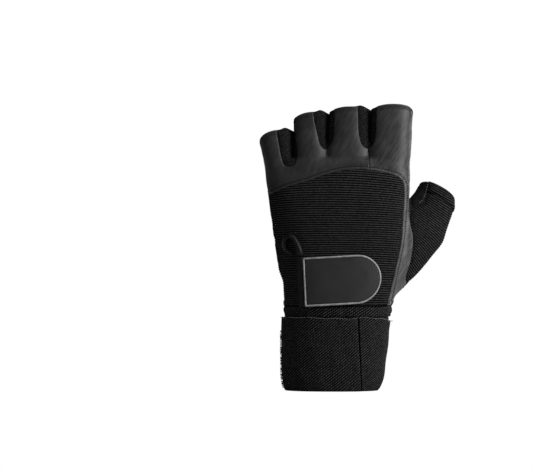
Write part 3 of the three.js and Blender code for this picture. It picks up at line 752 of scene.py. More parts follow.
def bumpTo(tree, shader, height, strength, distance):
    bump = addNode(tree, "ShaderNodeBump")
    socketValue(bump, "Strength", strength)
    socketValue(bump, "Distance", distance * mm)
    tree.links.new(height, bump.inputs["Height"])
    tree.links.new(bump.outputs[0], shader.inputs["Normal"])


def grainMaterial(name, look):
    material, tree, shader = newMaterial(name, look["gloss"])
    grain, where = grainNode(tree, look["size"], look["cloud"])
    share = remap(tree, grain.outputs["Mottle"], 0.35, 0.65)
    height = grain.outputs["Height"]
    if "streak" in look:
        # brushed streaks that lean to the right
        turn = addNode(tree, "ShaderNodeVectorRotate", rotation_type="Y_AXIS")
        tree.links.new(where, turn.inputs["Vector"])
        socketValue(turn, "Angle", math.radians(look["lean"]))
        stretch = addNode(tree, "ShaderNodeMapping")
        tree.links.new(turn.outputs[0], stretch.inputs["Vector"])
        socketValue(stretch, "Scale", (520.0, 300.0, 90.0))
        streaks = remap(tree, noiseNode(tree, stretch.outputs[0], 1.0, 3.0, 0.6), 0.35, 0.65)
        share = mathNode(tree, "ADD", mathNode(tree, "MULTIPLY", share, 1 - look["streak"]),
                         mathNode(tree, "MULTIPLY", streaks, look["streak"]), clamp=True)
        height = mathNode(tree, "ADD", height, mathNode(tree, "MULTIPLY", streaks, look["streak"]))
    colour = mixColour(tree, share, grey(look["dark"]), grey(look["light"]))
    if "paleBelow" in look:
        # the lower part of the piece is paler
        parts = addNode(tree, "ShaderNodeSeparateXYZ")
        tree.links.new(where, parts.inputs[0])
        low = remap(tree, parts.outputs["Z"], look["paleBelow"], look["paleBelow"] + 0.02, 1.0, 0.0)
        gain = look["paleGain"]
        pale = mixColour(tree, share, grey(look["dark"] * gain), grey(look["light"] * gain))
        colour = mixColour(tree, low, colour, pale)
    tree.links.new(colour, shader.inputs["Base Color"])
    rough = look["rough"]
    tree.links.new(remap(tree, grain.outputs["Mottle"], 0.3, 0.7, rough - 0.1, rough + 0.1),
                   shader.inputs["Roughness"])
    bumpTo(tree, shader, height, look["bump"], look["depth"])
    if look.get("sheen"):
        socketValue(shader, "Sheen Weight", look["sheen"])
        socketValue(shader, "Sheen Roughness", 0.5)
    return material


def ribMaterial(name, look):
    material, tree, shader = newMaterial(name, look["gloss"])
    where = addNode(tree, "ShaderNodeTexCoord").outputs["Object"]
    phase = addNode(tree, "ShaderNodeAttribute", attribute_name="ribPhase").outputs["Fac"]
    wave = mathNode(tree, "ABSOLUTE", mathNode(tree, "SINE", mathNode(tree, "MULTIPLY", phase, math.pi)))
    # painted shade: the grooves get the dark colour; painted highlight: the crests get the light colour,
    # broken into dashes
    crest = remap(tree, wave, 0.55, 1.0)
    dashes = remap(tree, noiseNode(tree, where, look["dashScale"], 2.0), 0.40, 0.64, look["even"], 1.0)
    paintedCrestLight = mathNode(tree, "MULTIPLY", crest, dashes)
    tree.links.new(mixColour(tree, paintedCrestLight, grey(look["dark"]), grey(look["light"])),
                   shader.inputs["Base Color"])
    socketValue(shader, "Roughness", look["rough"])
    thread = noiseNode(tree, where, 2600.0, 2.0)
    bumpTo(tree, shader, thread, 0.5, 0.12)
    return material


def weaveMaterial(name, look):
    # twill: slanted ridges broken by the cross threads, on the piece's own UV map
    material, tree, shader = newMaterial(name, look["gloss"])
    uv = addNode(tree, "ShaderNodeUVMap", uv_map="weave").outputs["UV"]
    parts = addNode(tree, "ShaderNodeSeparateXYZ")
    tree.links.new(uv, parts.inputs[0])
    along, up = parts.outputs["X"], parts.outputs["Y"]
    slant = mathNode(tree, "ADD", along, mathNode(tree, "MULTIPLY", up, look["slant"]))
    ridge = mathNode(tree, "ABSOLUTE", mathNode(tree, "SINE", mathNode(
        tree, "MULTIPLY", slant, math.pi / look["pitch"])))
    cross = mathNode(tree, "ABSOLUTE", mathNode(tree, "SINE", mathNode(
        tree, "MULTIPLY", along, math.pi / look["threads"])))
    height = mathNode(tree, "MULTIPLY", ridge, remap(tree, cross, 0.0, 1.0, 0.55, 1.0))
    where = addNode(tree, "ShaderNodeTexCoord").outputs["Object"]
    # painted highlight: the ridges are painted lighter, dimmed between the cross threads and unevenly at
    # random
    unevenHighlight = remap(tree, noiseNode(tree, where, 700.0, 3.0), 0.35, 0.65, 0.35, 1.0)
    lines = remap(tree, ridge, 0.55, 1.0)
    share = mathNode(tree, "MULTIPLY", mathNode(tree, "MULTIPLY", lines, remap(
        tree, cross, 0.2, 0.8, 0.45, 1.0)), unevenHighlight)
    tree.links.new(mixColour(tree, share, grey(look["dark"]), grey(look["light"])),
                   shader.inputs["Base Color"])
    socketValue(shader, "Roughness", look["rough"])
    bumpTo(tree, shader, height, 0.9, look["depth"])
    return material


smoothGrain = {"size": 0.9, "cloud": 22.0, "bump": 0.35, "depth": 0.2, "rough": 0.56, "gloss": 0.28}
looks = {
    "leather": grainMaterial("leather", dict(smoothGrain, dark=0.003, light=0.019, streak=0.6, lean=-30.0)),
    "strip": grainMaterial("stripLeather", dict(smoothGrain, dark=0.007, light=0.033, rough=0.58,
                                               streak=0.6, lean=-30.0, paleBelow=0.150, paleGain=2.2)),
    "palmLeather": grainMaterial("palmLeather", dict(smoothGrain, dark=0.012, light=0.024)),
    "tipLeather": grainMaterial("tipLeather", dict(smoothGrain, dark=0.028, light=0.060, cloud=14.0)),
    "paleLeather": grainMaterial("paleLeather", dict(smoothGrain, dark=0.07, light=0.13, cloud=9.0)),
    "suede": grainMaterial("suede", {"dark": 0.0022, "light": 0.0125, "rough": 0.92, "size": 0.7,
                                     "cloud": 6.0, "bump": 0.8, "depth": 0.35, "gloss": 0.03,
                                     "sheen": 0.04}),
    "ribs": ribMaterial("ribFabric", {"dark": 0.0008, "light": 0.036, "rough": 0.95, "even": 0.5,
                                      "dashScale": 800.0, "gloss": 0.02}),
    "knit": ribMaterial("knitMesh", {"dark": 0.0015, "light": 0.022, "rough": 0.85, "even": 0.3,
                                     "dashScale": 800.0, "gloss": 0.02}),
    "webbing": weaveMaterial("webbing", {"dark": 0.0016, "light": 0.05, "rough": 0.8, "pitch": 2.4,
                                         "threads": 1.15, "slant": 1.2, "depth": 0.5, "gloss": 0.02}),
    "tab": grainMaterial("tabFace", {"dark": 0.0085, "light": 0.0115, "rough": 0.6, "size": 0.5,
                                     "cloud": 14.0, "bump": 0.15, "depth": 0.1, "gloss": 0.3}),
    "ribbon": grainMaterial("ribbon", {"dark": 0.0015, "light": 0.004, "rough": 0.5, "size": 0.6,
                                       "cloud": 8.0, "bump": 0.3, "depth": 0.15, "gloss": 0.15}),
    "piping": grainMaterial("piping", {"dark": 0.15, "light": 0.25, "rough": 0.6, "size": 0.7,
                                       "cloud": 5.0, "bump": 0.5, "depth": 0.15, "gloss": 0.3}),
    "thread": grainMaterial("thread", {"dark": 0.002, "light": 0.005, "rough": 0.6, "size": 0.4,
                                       "cloud": 4.0, "bump": 0.5, "depth": 0.1, "gloss": 0.2}),
    "dimThread": grainMaterial("dimThread", {"dark": 0.02, "light": 0.06, "rough": 0.8, "size": 0.4,
                                             "cloud": 3.0, "bump": 0.5, "depth": 0.1, "gloss": 0.1}),
    # near-black cord laid as painted shade along the wrap's free end
    "shade": grainMaterial("paintedShadeCord", {"dark": 0.0004, "light": 0.001, "rough": 1.0, "size": 0.4,
                                           "cloud": 4.0, "bump": 0.2, "depth": 0.1, "gloss": 0.0}),
    "paleThread": grainMaterial("paleThread", {"dark": 0.05, "light": 0.13, "rough": 0.7, "size": 0.4,
                                               "cloud": 3.0, "bump": 0.5, "depth": 0.1, "gloss": 0.2}),
}


def finishPiece(obj, nodes, wall=0.0, material=None):
    if wall:
        solid = obj.modifiers.new("wall", "SOLIDIFY")
        solid.thickness, solid.offset = wall * mm, -1.0
    if material:
        obj.data.materials.clear()
        obj.data.materials.append(looks[material])
    obj.data.shade_smooth()
    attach(obj, "root")
    if nodes:
        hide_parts(*nodes)
    return obj


def facesOf(array):
    return [[i for i in face if i >= 0] for face in array.tolist()]


def storeFloat(obj, name, values):
    attribute = obj.data.attributes.new(name, "FLOAT", "POINT")
    attribute.data.foreach_set("value", np.asarray(values, np.float32))


# Ribs as real relief: a Geometry Nodes tree that lifts a surface by its stored rib phase


def newTree(name, sizes):
    tree = bpy.data.node_groups.new(name, "GeometryNodeTree")
    tree.interface.new_socket("Geometry", in_out="INPUT", socket_type="NodeSocketGeometry")
    for label, value in sizes.items():
        socket = tree.interface.new_socket(label, in_out="INPUT", socket_type="NodeSocketFloat")
        socket.default_value = value
    tree.interface.new_socket("Material", in_out="INPUT", socket_type="NodeSocketMaterial")
    tree.interface.new_socket("Geometry", in_out="OUTPUT", socket_type="NodeSocketGeometry")
    return tree, tree.nodes.new("NodeGroupInput")


def endTree(tree, given, geometry):
    # gives the result its material
    paint = addNode(tree, "GeometryNodeSetMaterial")
    tree.links.new(geometry, paint.inputs["Geometry"])
    tree.links.new(given.outputs["Material"], paint.inputs["Material"])
    result = tree.nodes.new("NodeGroupOutput")
    tree.links.new(paint.outputs[0], result.inputs["Geometry"])
    return tree


def makeRibTree():
    tree, given = newTree("ribRelief", {"Height": 0.0004, "Break": 0.35, "Break size": 300.0})
    phase = addNode(tree, "GeometryNodeInputNamedAttribute", data_type="FLOAT")
    phase.inputs["Name"].default_value = "ribPhase"
    edge = addNode(tree, "GeometryNodeInputNamedAttribute", data_type="FLOAT")
    edge.inputs["Name"].default_value = "edgeShare"
    wave = mathNode(tree, "ABSOLUTE", mathNode(tree, "SINE", mathNode(
        tree, "MULTIPLY", phase.outputs[0], math.pi)))
    crest = mathNode(tree, "POWER", wave, 0.75)
    noise = addNode(tree, "ShaderNodeTexNoise")
    tree.links.new(given.outputs["Break size"], noise.inputs["Scale"])
    position = addNode(tree, "GeometryNodeInputPosition")
    tree.links.new(position.outputs[0], noise.inputs["Vector"])
    uneven = mathNode(tree, "MULTIPLY", mathNode(tree, "SUBTRACT", noise.outputs["Fac"], 0.5),
                      given.outputs["Break"])
    lift = mathNode(tree, "MULTIPLY", mathNode(tree, "ADD", crest, uneven), given.outputs["Height"])
    lift = mathNode(tree, "MULTIPLY", lift, edge.outputs[0])
    normal = addNode(tree, "GeometryNodeInputNormal")
    offset = addNode(tree, "ShaderNodeVectorMath", operation="SCALE")
    tree.links.new(normal.outputs[0], offset.inputs[0])
    tree.links.new(lift, offset.inputs["Scale"])
    move = addNode(tree, "GeometryNodeSetPosition")
    tree.links.new(given.outputs["Geometry"], move.inputs["Geometry"])
    tree.links.new(offset.outputs[0], move.inputs["Offset"])
    return endTree(tree, given, move.outputs[0])


def runTree(obj, tree, values):
    modifier = obj.modifiers.new("nodes", "NODES")
    modifier.node_group = tree
    sockets = {s.name: s.identifier for s in tree.interface.items_tree if s.in_out == "INPUT"}
    for name, value in values.items():
        modifier[sockets[name]] = value
    graph = bpy.context.evaluated_depsgraph_get()
    made = bpy.data.meshes.new_from_object(obj.evaluated_get(graph))
    obj.modifiers.remove(modifier)
    old, obj.data = obj.data, made
    bpy.data.meshes.remove(old)
    return obj


ribTree = makeRibTree()


def ribPiece(name, nodes, points, faces, edge, phase, look):
    obj = newObject(name, points, faces)
    storeFloat(obj, "ribPhase", phase)
    storeFloat(obj, "edgeShare", np.clip(edge / look["fade"], 0, 1))
    runTree(obj, ribTree, {"Height": look["height"] * mm, "Break": look["break"],
                           "Break size": look["breakSize"], "Material": looks[look["material"]]})
    return finishPiece(obj, nodes, wall=look["wall"])


# Stitches: short threads placed along lines that lie on the surface


def makeStitchTree():
    tree, given = newTree("stitchRow", {"Pitch": 0.003, "Length": 0.002, "Thickness": 0.0006})
    line = addNode(tree, "GeometryNodeMeshToCurve")
    tree.links.new(given.outputs["Geometry"], line.inputs["Mesh"])
    spots = addNode(tree, "GeometryNodeCurveToPoints", mode="LENGTH")
    tree.links.new(line.outputs[0], spots.inputs["Curve"])
    tree.links.new(given.outputs["Pitch"], spots.inputs["Length"])
    ball = addNode(tree, "GeometryNodeMeshIcoSphere")
    ball.inputs["Radius"].default_value = 0.5
    ball.inputs["Subdivisions"].default_value = 2
    size = addNode(tree, "ShaderNodeCombineXYZ")
    tree.links.new(given.outputs["Thickness"], size.inputs["X"])
    tree.links.new(given.outputs["Thickness"], size.inputs["Y"])
    tree.links.new(given.outputs["Length"], size.inputs["Z"])
    shaped = addNode(tree, "GeometryNodeTransform")
    tree.links.new(ball.outputs["Mesh"], shaped.inputs["Geometry"])
    tree.links.new(size.outputs[0], shaped.inputs["Scale"])
    spread = addNode(tree, "GeometryNodeInstanceOnPoints")
    tree.links.new(spots.outputs["Points"], spread.inputs["Points"])
    tree.links.new(shaped.outputs[0], spread.inputs["Instance"])
    tree.links.new(spots.outputs["Rotation"], spread.inputs["Rotation"])
    real = addNode(tree, "GeometryNodeRealizeInstances")
    tree.links.new(spread.outputs[0], real.inputs[0])
    return endTree(tree, given, real.outputs[0])


stitchTree = makeStitchTree()


def onSurface(line, side, lift=0.0):
    # puts a line seen from the front on the back (-1) or the palm side (+1) of the skin
    found = []
    for x, z in line:
        hit, normal, _, _ = skinTree.ray_cast(Vector((x, side * 200.0, z)), Vector((0, -side, 0)))
        if hit is not None:
            found.append(np.array(hit) + np.array(normal) * lift)
    return np.array(found)


def offsetLine(line, away):
    along = np.gradient(line, axis=0)
    along /= np.linalg.norm(along, axis=1, keepdims=True)
    return line + np.stack([-along[:, 1], along[:, 0]], axis=1) * away


def rimLoop(finger, below, lift, steps=90):
    rimZ = knuckleZ + fingerRims[finger][0] * fingerReach
    centre = np.array([(fingerLineX(finger, rimZ) + fingerLineX(finger + 1, rimZ)) / 2, spineY(rimZ)])
    found = []
    for angle in np.linspace(0, 2 * math.pi, steps, endpoint=False):
        direction = np.array([math.cos(angle), math.sin(angle)])
        z = rimZ
        for _ in range(6):
            start = Vector((centre[0], centre[1], z))
            hit, normal, _, _ = skinTree.ray_cast(start, Vector((*direction, 0)))
            if hit is None:
                break
            z += rimDistance(np.array([hit]))[0] - below
        if hit is not None:
            found.append(np.array(hit) + np.array(normal) * lift)
    return np.array(found)


def stitchRows(name, rows, look):
    points, edges = [], []
    for row in rows:
        start = len(points)
        points += list(row)
        edges += [(start + k, start + k + 1) for k in range(len(row) - 1)]
    obj = newObject(name, points, [], edges)
    runTree(obj, stitchTree, {"Pitch": look["pitch"] * mm, "Length": look["length"] * mm,
                              "Thickness": look["thick"] * mm, "Material": looks[look["material"]]})
    return finishPiece(obj, ())


# Leather and suede panels
panelLooks = {
    "knuckleLeather": {"node": "knuckle_leather", "slot": "leather", "material": "leather",
                       "back": "knuckle", "wrinkle": 0.55, "seed": 3, "waves": 15.0},
    "indexLeather": {"node": "index_leather", "slot": "strip_leather", "material": "strip",
                     "back": "index", "wrinkle": 0.5, "seed": 5, "waves": 14.0},
    "palmSuedeUpper": {"node": "palm_suede_upper", "slot": "suede", "material": "suede",
                       "palm": "upper", "wrinkle": 0.4, "seed": 7, "pad": 1.3},
    "palmSuedeLower": {"node": "palm_suede_lower", "slot": "suede", "material": "suede",
                       "palm": "lower", "wrinkle": 0.4, "seed": 9, "pad": 1.6, "quilt": True},
    "webSuede": {"node": "web_suede", "slot": "suede", "material": "suede",
                 "palm": "web", "back": "web", "wrinkle": 0.7, "seed": 11, "tuck": 1.0},
    "thumbLeather": {"node": "thumb_leather", "slot": "leather", "material": "palmLeather",
                     "palm": "thumb", "wrinkle": 0.7, "seed": 13, "waves": 20.0},
    "heelLeather": {"node": "heel_leather", "slot": "leather", "material": "palmLeather",
                    "palm": "heel", "wrinkle": 0.7, "seed": 15, "waves": 20.0},
}
quiltLines = [
    np.array([place(*s) for s in [(-0.62, 0.795), (-0.19, 0.41), (-0.10, 0.32)]]),
    np.array([place(*s) for s in [(0.04, 0.85), (-0.36, 0.50), (-0.60, 0.30)]]),
    np.array([place(*s) for s in [(0.048, 0.862), (0.076, 0.58), (0.125, 0.33)]]),
]


edgeRelief = {"lip": 1.0, "lipReach": 0.7, "groove": 2.5, "grooveReach": 0.6}
quilting = {"depth": 1.5, "reach": 1.5}


def stitchedEdge(away, high, deep):
    # a lip along an edge, and the groove of its stitches
    lip = np.exp(-((away - edgeRelief["lip"]) / edgeRelief["lipReach"]) ** 2)
    groove = np.exp(-((away - edgeRelief["groove"]) / edgeRelief["grooveReach"]) ** 2)
    return high * lip - deep * groove


def makePanel(name, look):
    tuck = look.get("tuck", 0.0)
    field = panelField(look.get("back"), look.get("palm"), tuck=tuck)
    points, faces, edge = panelMesh(field)
    folds = wrinkle(points, look.get("waves", 26.0), look["seed"])
    rise = look["wrinkle"] * folds * np.clip(edge / 6, 0, 1)
    if "pad" in look:
        rise = rise + look["pad"] * smoothstep(edge, 0, 9) ** 0.7
    elif "palm" not in look:
        rise = rise + stitchedEdge(lineDistance(points, curves["hem"]), 0.35, 0.35)
        rise = rise + stitchedEdge(rimDistance(points), 0.2, 0.3)
    else:
        rise = rise + stitchedEdge(edge, 0.2, 0.25)
    if look.get("quilt"):
        for line in quiltLines:
            away = lineDistance(points, line) / quilting["reach"]
            rise = rise - quilting["depth"] * np.exp(-away ** 2)
    points = points + vertexNormals(points, faces) * rise[:, None]
    points = rollEdges(points, faces, edge, 1.0 + 1.2 * tuck, 0.5 + tuck)
    obj = newObject(name, points, facesOf(faces))
    return finishPiece(obj, (look["node"],), wall=1.3, material=look["material"])


for name, look in panelLooks.items():
    makePanel(name, look)
print("leather and suede")


def makeTipBand(k, finger):
    points, faces, edge = panelMesh(panelField(finger=k))
    points = rollEdges(points, faces, edge, 1.3, 0.5)
    obj = newObject(finger + "TipBand", points, facesOf(faces))
    return finishPiece(obj, (finger + "_tip_band",), wall=1.3, material="tipLeather")

for k, finger in enumerate(fingerNames):
    makeTipBand(k, finger)
print("tip bands")

# Ribbed stretch fabric
fabricTuck = 1.3          # how far fabric runs on beneath the leather at its border
backRibs = {"pitch": 1.66, "height": 0.6, "break": 0.06, "breakSize": 260.0, "fade": 1.6,
            "material": "ribs", "wall": 1.1}
thumbRibs = dict(backRibs, pitch=1.5, height=0.4)


def sunken(points, faces, edge, depth, run, facing=None):
    # lets a fabric pass beneath the leather round it
    drop = depth * (1 - smoothstep(edge - fabricTuck, 0, run)) + 0.5 * (1 - smoothstep(edge, 0, fabricTuck))
    if facing is not None:
        drop = drop * facing
    return points - vertexNormals(points, faces) * drop[:, None]


def backGrid():
    angles = np.linspace(math.pi * 0.97, math.pi * 2.03, 120)
    heights = np.arange(waistZ - 1.0, waistZ + palmLength * 0.99, 0.33)
    grid = palmPoint(angles[None, :], heights[:, None], 0.0)
    return grid.reshape(-1, 3), openFaces(*grid.shape[:2])


def makeBackPanel():
    points, faces, edge = panelMesh(panelField("back", tuck=fabricTuck), backGrid(), edgeLoops=())
    x, z = points[:, 0], points[:, 2]
    up = (z - waistZ) / palmLength
    bowed = z + 4.4 * (x / 50) ** 2 * smoothstep(up, 0.2, 0.9) + 0.9 * np.sin(x / 21 + 1.3) * np.sin(z / 17)
    points = points + vertexNormals(points, faces) * (0.5 * wrinkle(points, 34.0, 21))[:, None]
    points = sunken(points, faces, edge, 0.9, 5.0)
    return ribPiece("backPanel", ("back_panel",), points, facesOf(faces), edge,
                    bowed / backRibs["pitch"], backRibs)


def subdivided(points, faces):
    # halves a mesh's spacing on its own flat faces
    obj = newObject("fineSource", points, facesOf(faces))
    modifier = obj.modifiers.new("fine", "SUBSURF")
    modifier.subdivision_type = "SIMPLE"
    modifier.levels = modifier.render_levels = 1
    points, faces = meshArrays(obj)
    bpy.data.objects.remove(obj)
    return points, faces


def thumbPhase(points):
    # how far along the thumb a point lies, in millimetres
    steps = np.linspace(0, len(thumbSections) + 0.5, 120)
    last = len(thumbSections) - 1
    table, run = [], 0.0
    before = None
    for t in steps:
        outer, inner, _, _ = thumbRow(min(t, last))
        across = (outer - inner) / np.linalg.norm(outer - inner)
        along = np.array([-across[1], across[0]])
        middle = (outer + inner) / 2 + along * max(0.0, t - last) * 9
        if before is not None:
            run += np.linalg.norm(middle - before)
        before = middle
        table.append((*middle, *along, run))
    table = np.array(table)
    high = (points[:, 0:1] - table[None, :, 0]) * table[None, :, 2] \
        + (points[:, 2:3] - table[None, :, 1]) * table[None, :, 3]
    last = np.minimum((high > 0).sum(axis=1), len(steps) - 1)
    first = np.maximum(last - 1, 0)
    rows = np.arange(len(points))
    a, b = high[rows, first], high[rows, last]
    t = np.clip(a / np.where(np.abs(a - b) < 1e-9, 1, a - b), 0, 1)
    return table[first, 4] * (1 - t) + table[last, 4] * t


thumbTurn = {"x": 68.0, "z": 110.0, "slope": 54.0}       # steep ribs towards the wrist


def thumbRibPhase(points):
    x, z = points[:, 0], points[:, 2]
    slope = math.radians(thumbTurn["slope"])
    middle = thumbPhase(np.array([[thumbTurn["x"], 0.0, thumbTurn["z"]]]))[0]
    steep = math.sin(slope) * (x - thumbTurn["x"]) + math.cos(slope) * (z - thumbTurn["z"]) + middle
    share = 1 - smoothstep(z, waistZ + 22, waistZ + 66)
    return thumbPhase(points) * (1 - share) + steep * share


def makeThumbBack():
    field = panelField("thumb", "rib", tuck=fabricTuck)
    points, faces, edge = panelMesh(field, edgeLoops=())
    points, faces = subdivided(points, faces)
    edge = field(points)
    rim = rimDistance(points)
    folds = 0.7 * wrinkle(points, 20.0, 23) + 0.6 * (1 - smoothstep(rim, 6.8, 7.5))
    folds -= 0.8 * np.exp(-((rim - 8.2) / 0.8) ** 2)
    points = points + vertexNormals(points, faces) * folds[:, None]
    points = sunken(points, faces, edge, 0.8, 4.0)
    return ribPiece("thumbBack", ("thumb_back",), points, facesOf(faces), edge,
                    thumbRibPhase(points) / thumbRibs["pitch"], thumbRibs)


knitLook = dict(backRibs, height=0.25, pitch=1.15, material="knit", wall=1.0)


def makeFourchettes():
    for k in range(3):
        field = panelField(knit=k, tuck=fabricTuck)
        points, faces, edge = panelMesh(field, edgeLoops=())
        points, faces = subdivided(points, faces)
        edge = field(points)
        x, y, z = points.T
        seam = outlineDistance(points, gussetCurves[k])
        low = gussetCurves[k][:, 1].min()
        palmSide = y > spineY(z)
        pale = palmSide & (rimDistance(points) > 6) & (seam < 2.9) & (
            (z < low + 8) | (x < fingerLineX(k + 1, z, y)))
        flat = np.clip((np.abs(y - spineY(z)) - 5) / 4, 0, 1)
        points = sunken(points, faces, edge, 0.7, 2.5, flat)
        share = np.where(pale, 0.0, edge)
        obj = ribPiece(fingerNames[k] + "Fourchette", ("fourchette_" + fingerNames[k],),
                       points, facesOf(faces), share, (z + 0.25 * x) / knitLook["pitch"], knitLook)
        obj.data.materials.append(looks["paleLeather"])
        light = [all(pale[i] for i in face) for face in facesOf(faces)]
        obj.data.polygons.foreach_set("material_index", np.array(light, np.int32))


makeBackPanel()
makeThumbBack()
makeFourchettes()
print("ribbed fabric")


# Wrist wrap, cuff band and waistband


def cuffPoint(z, angle, inset):
    up = np.clip(z / wrapHeight, 0, 1)
    knots = cuffSections[:, 0]
    left = cuffShift - cuffWidth / 2 * tableValue(knots, cuffSections[:, 1], up)
    right = cuffShift + cuffWidth / 2 * tableValue(knots, cuffSections[:, 2], up)
    depth = cuffDepth / 2 * tableValue(knots, cuffSections[:, 3], up) - inset
    x, y = squareRound(angle, (right - left) / 2 - inset, depth, cuffPower)
    return np.stack([(left + right) / 2 + x, y + 0 * x, z + 0 * x], axis=-1)


wrapLook = {"stepsPerTurn": 150, "rows": 46, "edgeRadius": 0.5, "wave": 0.35, "lean": 2.6}


def findFreeAngle(height):
    # the angle where the outer turn's end lies at a height
    low, high = -math.pi / 2, 0.0
    target = wrapEnd + wrapLook["lean"] * (1 - height / wrapHeight)
    for _ in range(40):
        middle = (low + high) / 2
        past = cuffPoint(np.array([height]), middle, 0)[0, 0] > target
        low, high = (low, middle) if past else (middle, high)
    return high


freeAngle = findFreeAngle(wrapHeight)
topDips = [(-math.pi, 0), (-math.pi / 2, 0), (-0.7, 0.8), (0, 3.0), (math.pi / 4, 4.0),
           (math.pi / 2, 5.0), (math.pi * 0.75, 3.0), (math.pi, 0)]


def wrapTop(angle, turned):
    # height of the strap's upper edge: the outer turn dips at the side and over the palm
    wave = wrapLook["wave"] * np.sin(angle * 5) - 0.25 * np.sin(angle * 13)
    around = (angle + math.pi) % (2 * math.pi) - math.pi
    dip = np.interp(around, *np.array(topDips).T) * (1 - smoothstep(turned, 0.93, 1.0))
    return wrapHeight + wave - dip


def weaveMap(obj, along, up):
    layer = obj.data.uv_layers.new(name="weave")
    corners = np.zeros(len(obj.data.loops), int)
    obj.data.loops.foreach_get("vertex_index", corners)
    flat = np.stack([along, up], axis=1)
    layer.data.foreach_set("uv", flat[corners].astype(np.float32).ravel())


def makeWrap():
    pitch = wrapThickness + seamGap
    count = int(wrapTurns * wrapLook["stepsPerTurn"])
    heights = np.linspace(0, wrapHeight, wrapLook["rows"])
    leaning = np.array([findFreeAngle(z) for z in heights]) - freeAngle
    rings, uvs, run = [], [], 0.0
    before = None
    for k in range(count + 1):
        turned = k / wrapLook["stepsPerTurn"]
        angle = freeAngle - turned * 2 * math.pi + leaning * (1 - smoothstep(turned, 0.0, 0.12))
        inset = turned * pitch
        raised = np.clip((heights / wrapHeight - 0.7) / 0.3, 0, 1)
        z = heights + (wrapTop(angle, turned) - wrapHeight) * raised
        ripple = 0.16 * np.sin(heights / 4.1 + angle * 3) + 0.12 * np.sin(angle * 17 + heights / 9)
        round0 = np.clip(np.minimum(heights, wrapHeight - heights) / 1.0, 0, 1)
        tuck = wrapLook["edgeRadius"] * (1 - np.sqrt(1 - (1 - round0) ** 2))
        outside = cuffPoint(z, angle, inset + tuck - ripple * round0)
        inside = cuffPoint(z, angle, inset + wrapThickness - tuck)[::-1]
        middle = outside[len(heights) // 2]
        if before is not None:
            # the twill turns round at the wrap's two sides
            run += float(np.linalg.norm(middle - before)) * (1 if math.sin(angle[-1]) < 0 else -1)
        before = middle
        rings.append(np.vstack([outside, inside]))
        uvs.append(np.stack([np.full(2 * len(heights), run), np.concatenate([heights, heights[::-1]])], -1))
    points, faces = gridMesh(np.array(rings))
    obj = newObject("wristWrap", points, faces)
    flat = np.vstack(uvs)
    weaveMap(obj, flat[:, 0], flat[:, 1])
    return finishPiece(obj, ("wrist_wrap",), material="webbing")


makeWrap()


def makeCuffBand():
    # the strap's inner layer, which shows above the outer turn
    bandInset = (wrapTurns + 1) * (wrapThickness + seamGap)
    angles = np.linspace(0, 2 * math.pi, 200, endpoint=False) + math.pi / 2
    bandTop = waistZ - seamGap
    rows = [(wrapHeight - bandSkirt, 0), (wrapHeight - 1, 0), (wrapHeight - 0.2, 0.5),
            (wrapHeight + 0.3, 0.9), (wrapHeight + 0.9, 1), (wrapHeight + 4, 1), (bandTop - 1, 1),
            (bandTop, 1)]
    wall = 1.4

    def ring(z, inset, blend):
        low = cuffPoint(np.full(len(angles), min(z, wrapHeight)), angles, inset + bandInset)
        x, y = squareRound(angles, wristWidth / 2 - inset, wristDepth / 2 - inset, palmPower)
        x = x + palmSections[0, 2] * handWidth
        out = np.stack([low[:, 0] * (1 - blend) + x * blend, low[:, 1] * (1 - blend) + y * blend], -1)
        gather = (0.22 * np.sin(angles * 23) + 0.12 * np.sin(angles * 41 + 1)) * blend
        out = out + out / np.linalg.norm(out, axis=1, keepdims=True) * gather[:, None]
        return np.concatenate([out, np.full((len(angles), 1), z)], axis=1)
    outer = [ring(z, 0, blend) for z, blend in rows]
    inner = [ring(z, wall, blend) for z, blend in rows[::-1]]
    grid = np.array(outer + inner)
    points = grid.reshape(-1, 3)
    obj = newObject("cuffInnerLayer", points, closedFaces(*grid.shape[:2]))
    step = math.pi * (wristWidth + wristDepth) / 2 / len(angles)
    run = np.cumsum(np.where(np.sin(angles) > 0, step, -step))
    weaveMap(obj, np.tile(run, len(grid)), points[:, 2])
    return finishPiece(obj, ("cuff_band",), material="webbing")


waistbandLook = {"steps": 440, "rows": 11, "base": 0.75, "stand": 0.6, "roll": 0.75, "gather": 0.3,
                 "fine": 0.12, "endDrop": 3.2, "length": 105.0}


def makeWaistband():
    # gathered twill, sewn along its middle into two rolls
    look = waistbandLook
    heights = np.linspace(wrapHeight + bandShow * 0.3, waistZ + waistbandRise, look["rows"])
    shares = np.linspace(0, 1, look["steps"] + 1)
    rings = []
    for share in shares:
        angle = (0.06 + 0.88 * share) * math.pi
        gather = look["gather"] * math.sin(share * 22 * math.pi) ** 2
        fine = look["fine"] * math.sin(share * 61 * math.pi + 1)
        ends = float(smoothstep(min(share, 1 - share), 0, 0.05))
        drop = np.maximum(np.linspace(-1, 1, look["rows"]), 0) * look["endDrop"] * (1 - ends)
        outer = heights + (gather + fine) * np.linspace(0, 1, look["rows"]) - drop
        roll = look["roll"] * np.abs(np.sin(np.linspace(0, 2 * math.pi, look["rows"]))) ** 0.6
        outset = look["base"] + (look["stand"] + gather + fine + roll) * ends
        ring = [palmPoint(np.array(angle), np.array(z), out) for z, out in zip(outer, outset)]
        ring += [palmPoint(np.array(angle), np.array(z), 0.45) for z in outer[::-1]]
        rings.append(np.array(ring).reshape(-1, 3))
    points, faces = gridMesh(np.array(rings))
    obj = newObject("elasticWaistband", points, faces)
    weaveMap(obj, np.repeat(shares * look["length"], len(rings[0])), points[:, 2])
    return finishPiece(obj, ("waistband",), material="webbing")


makeCuffBand()
makeWaistband()
print("wrap and bands")


# Closing tab

tabTurn, tabSink = 0.058, 1.0        # the sewn tab sits a little askew


def askew(points):
    points = np.array(points)
    points[:, 1] += tabTurn * (points[:, 0] + 0.205 * handWidth) - tabSink
    return points


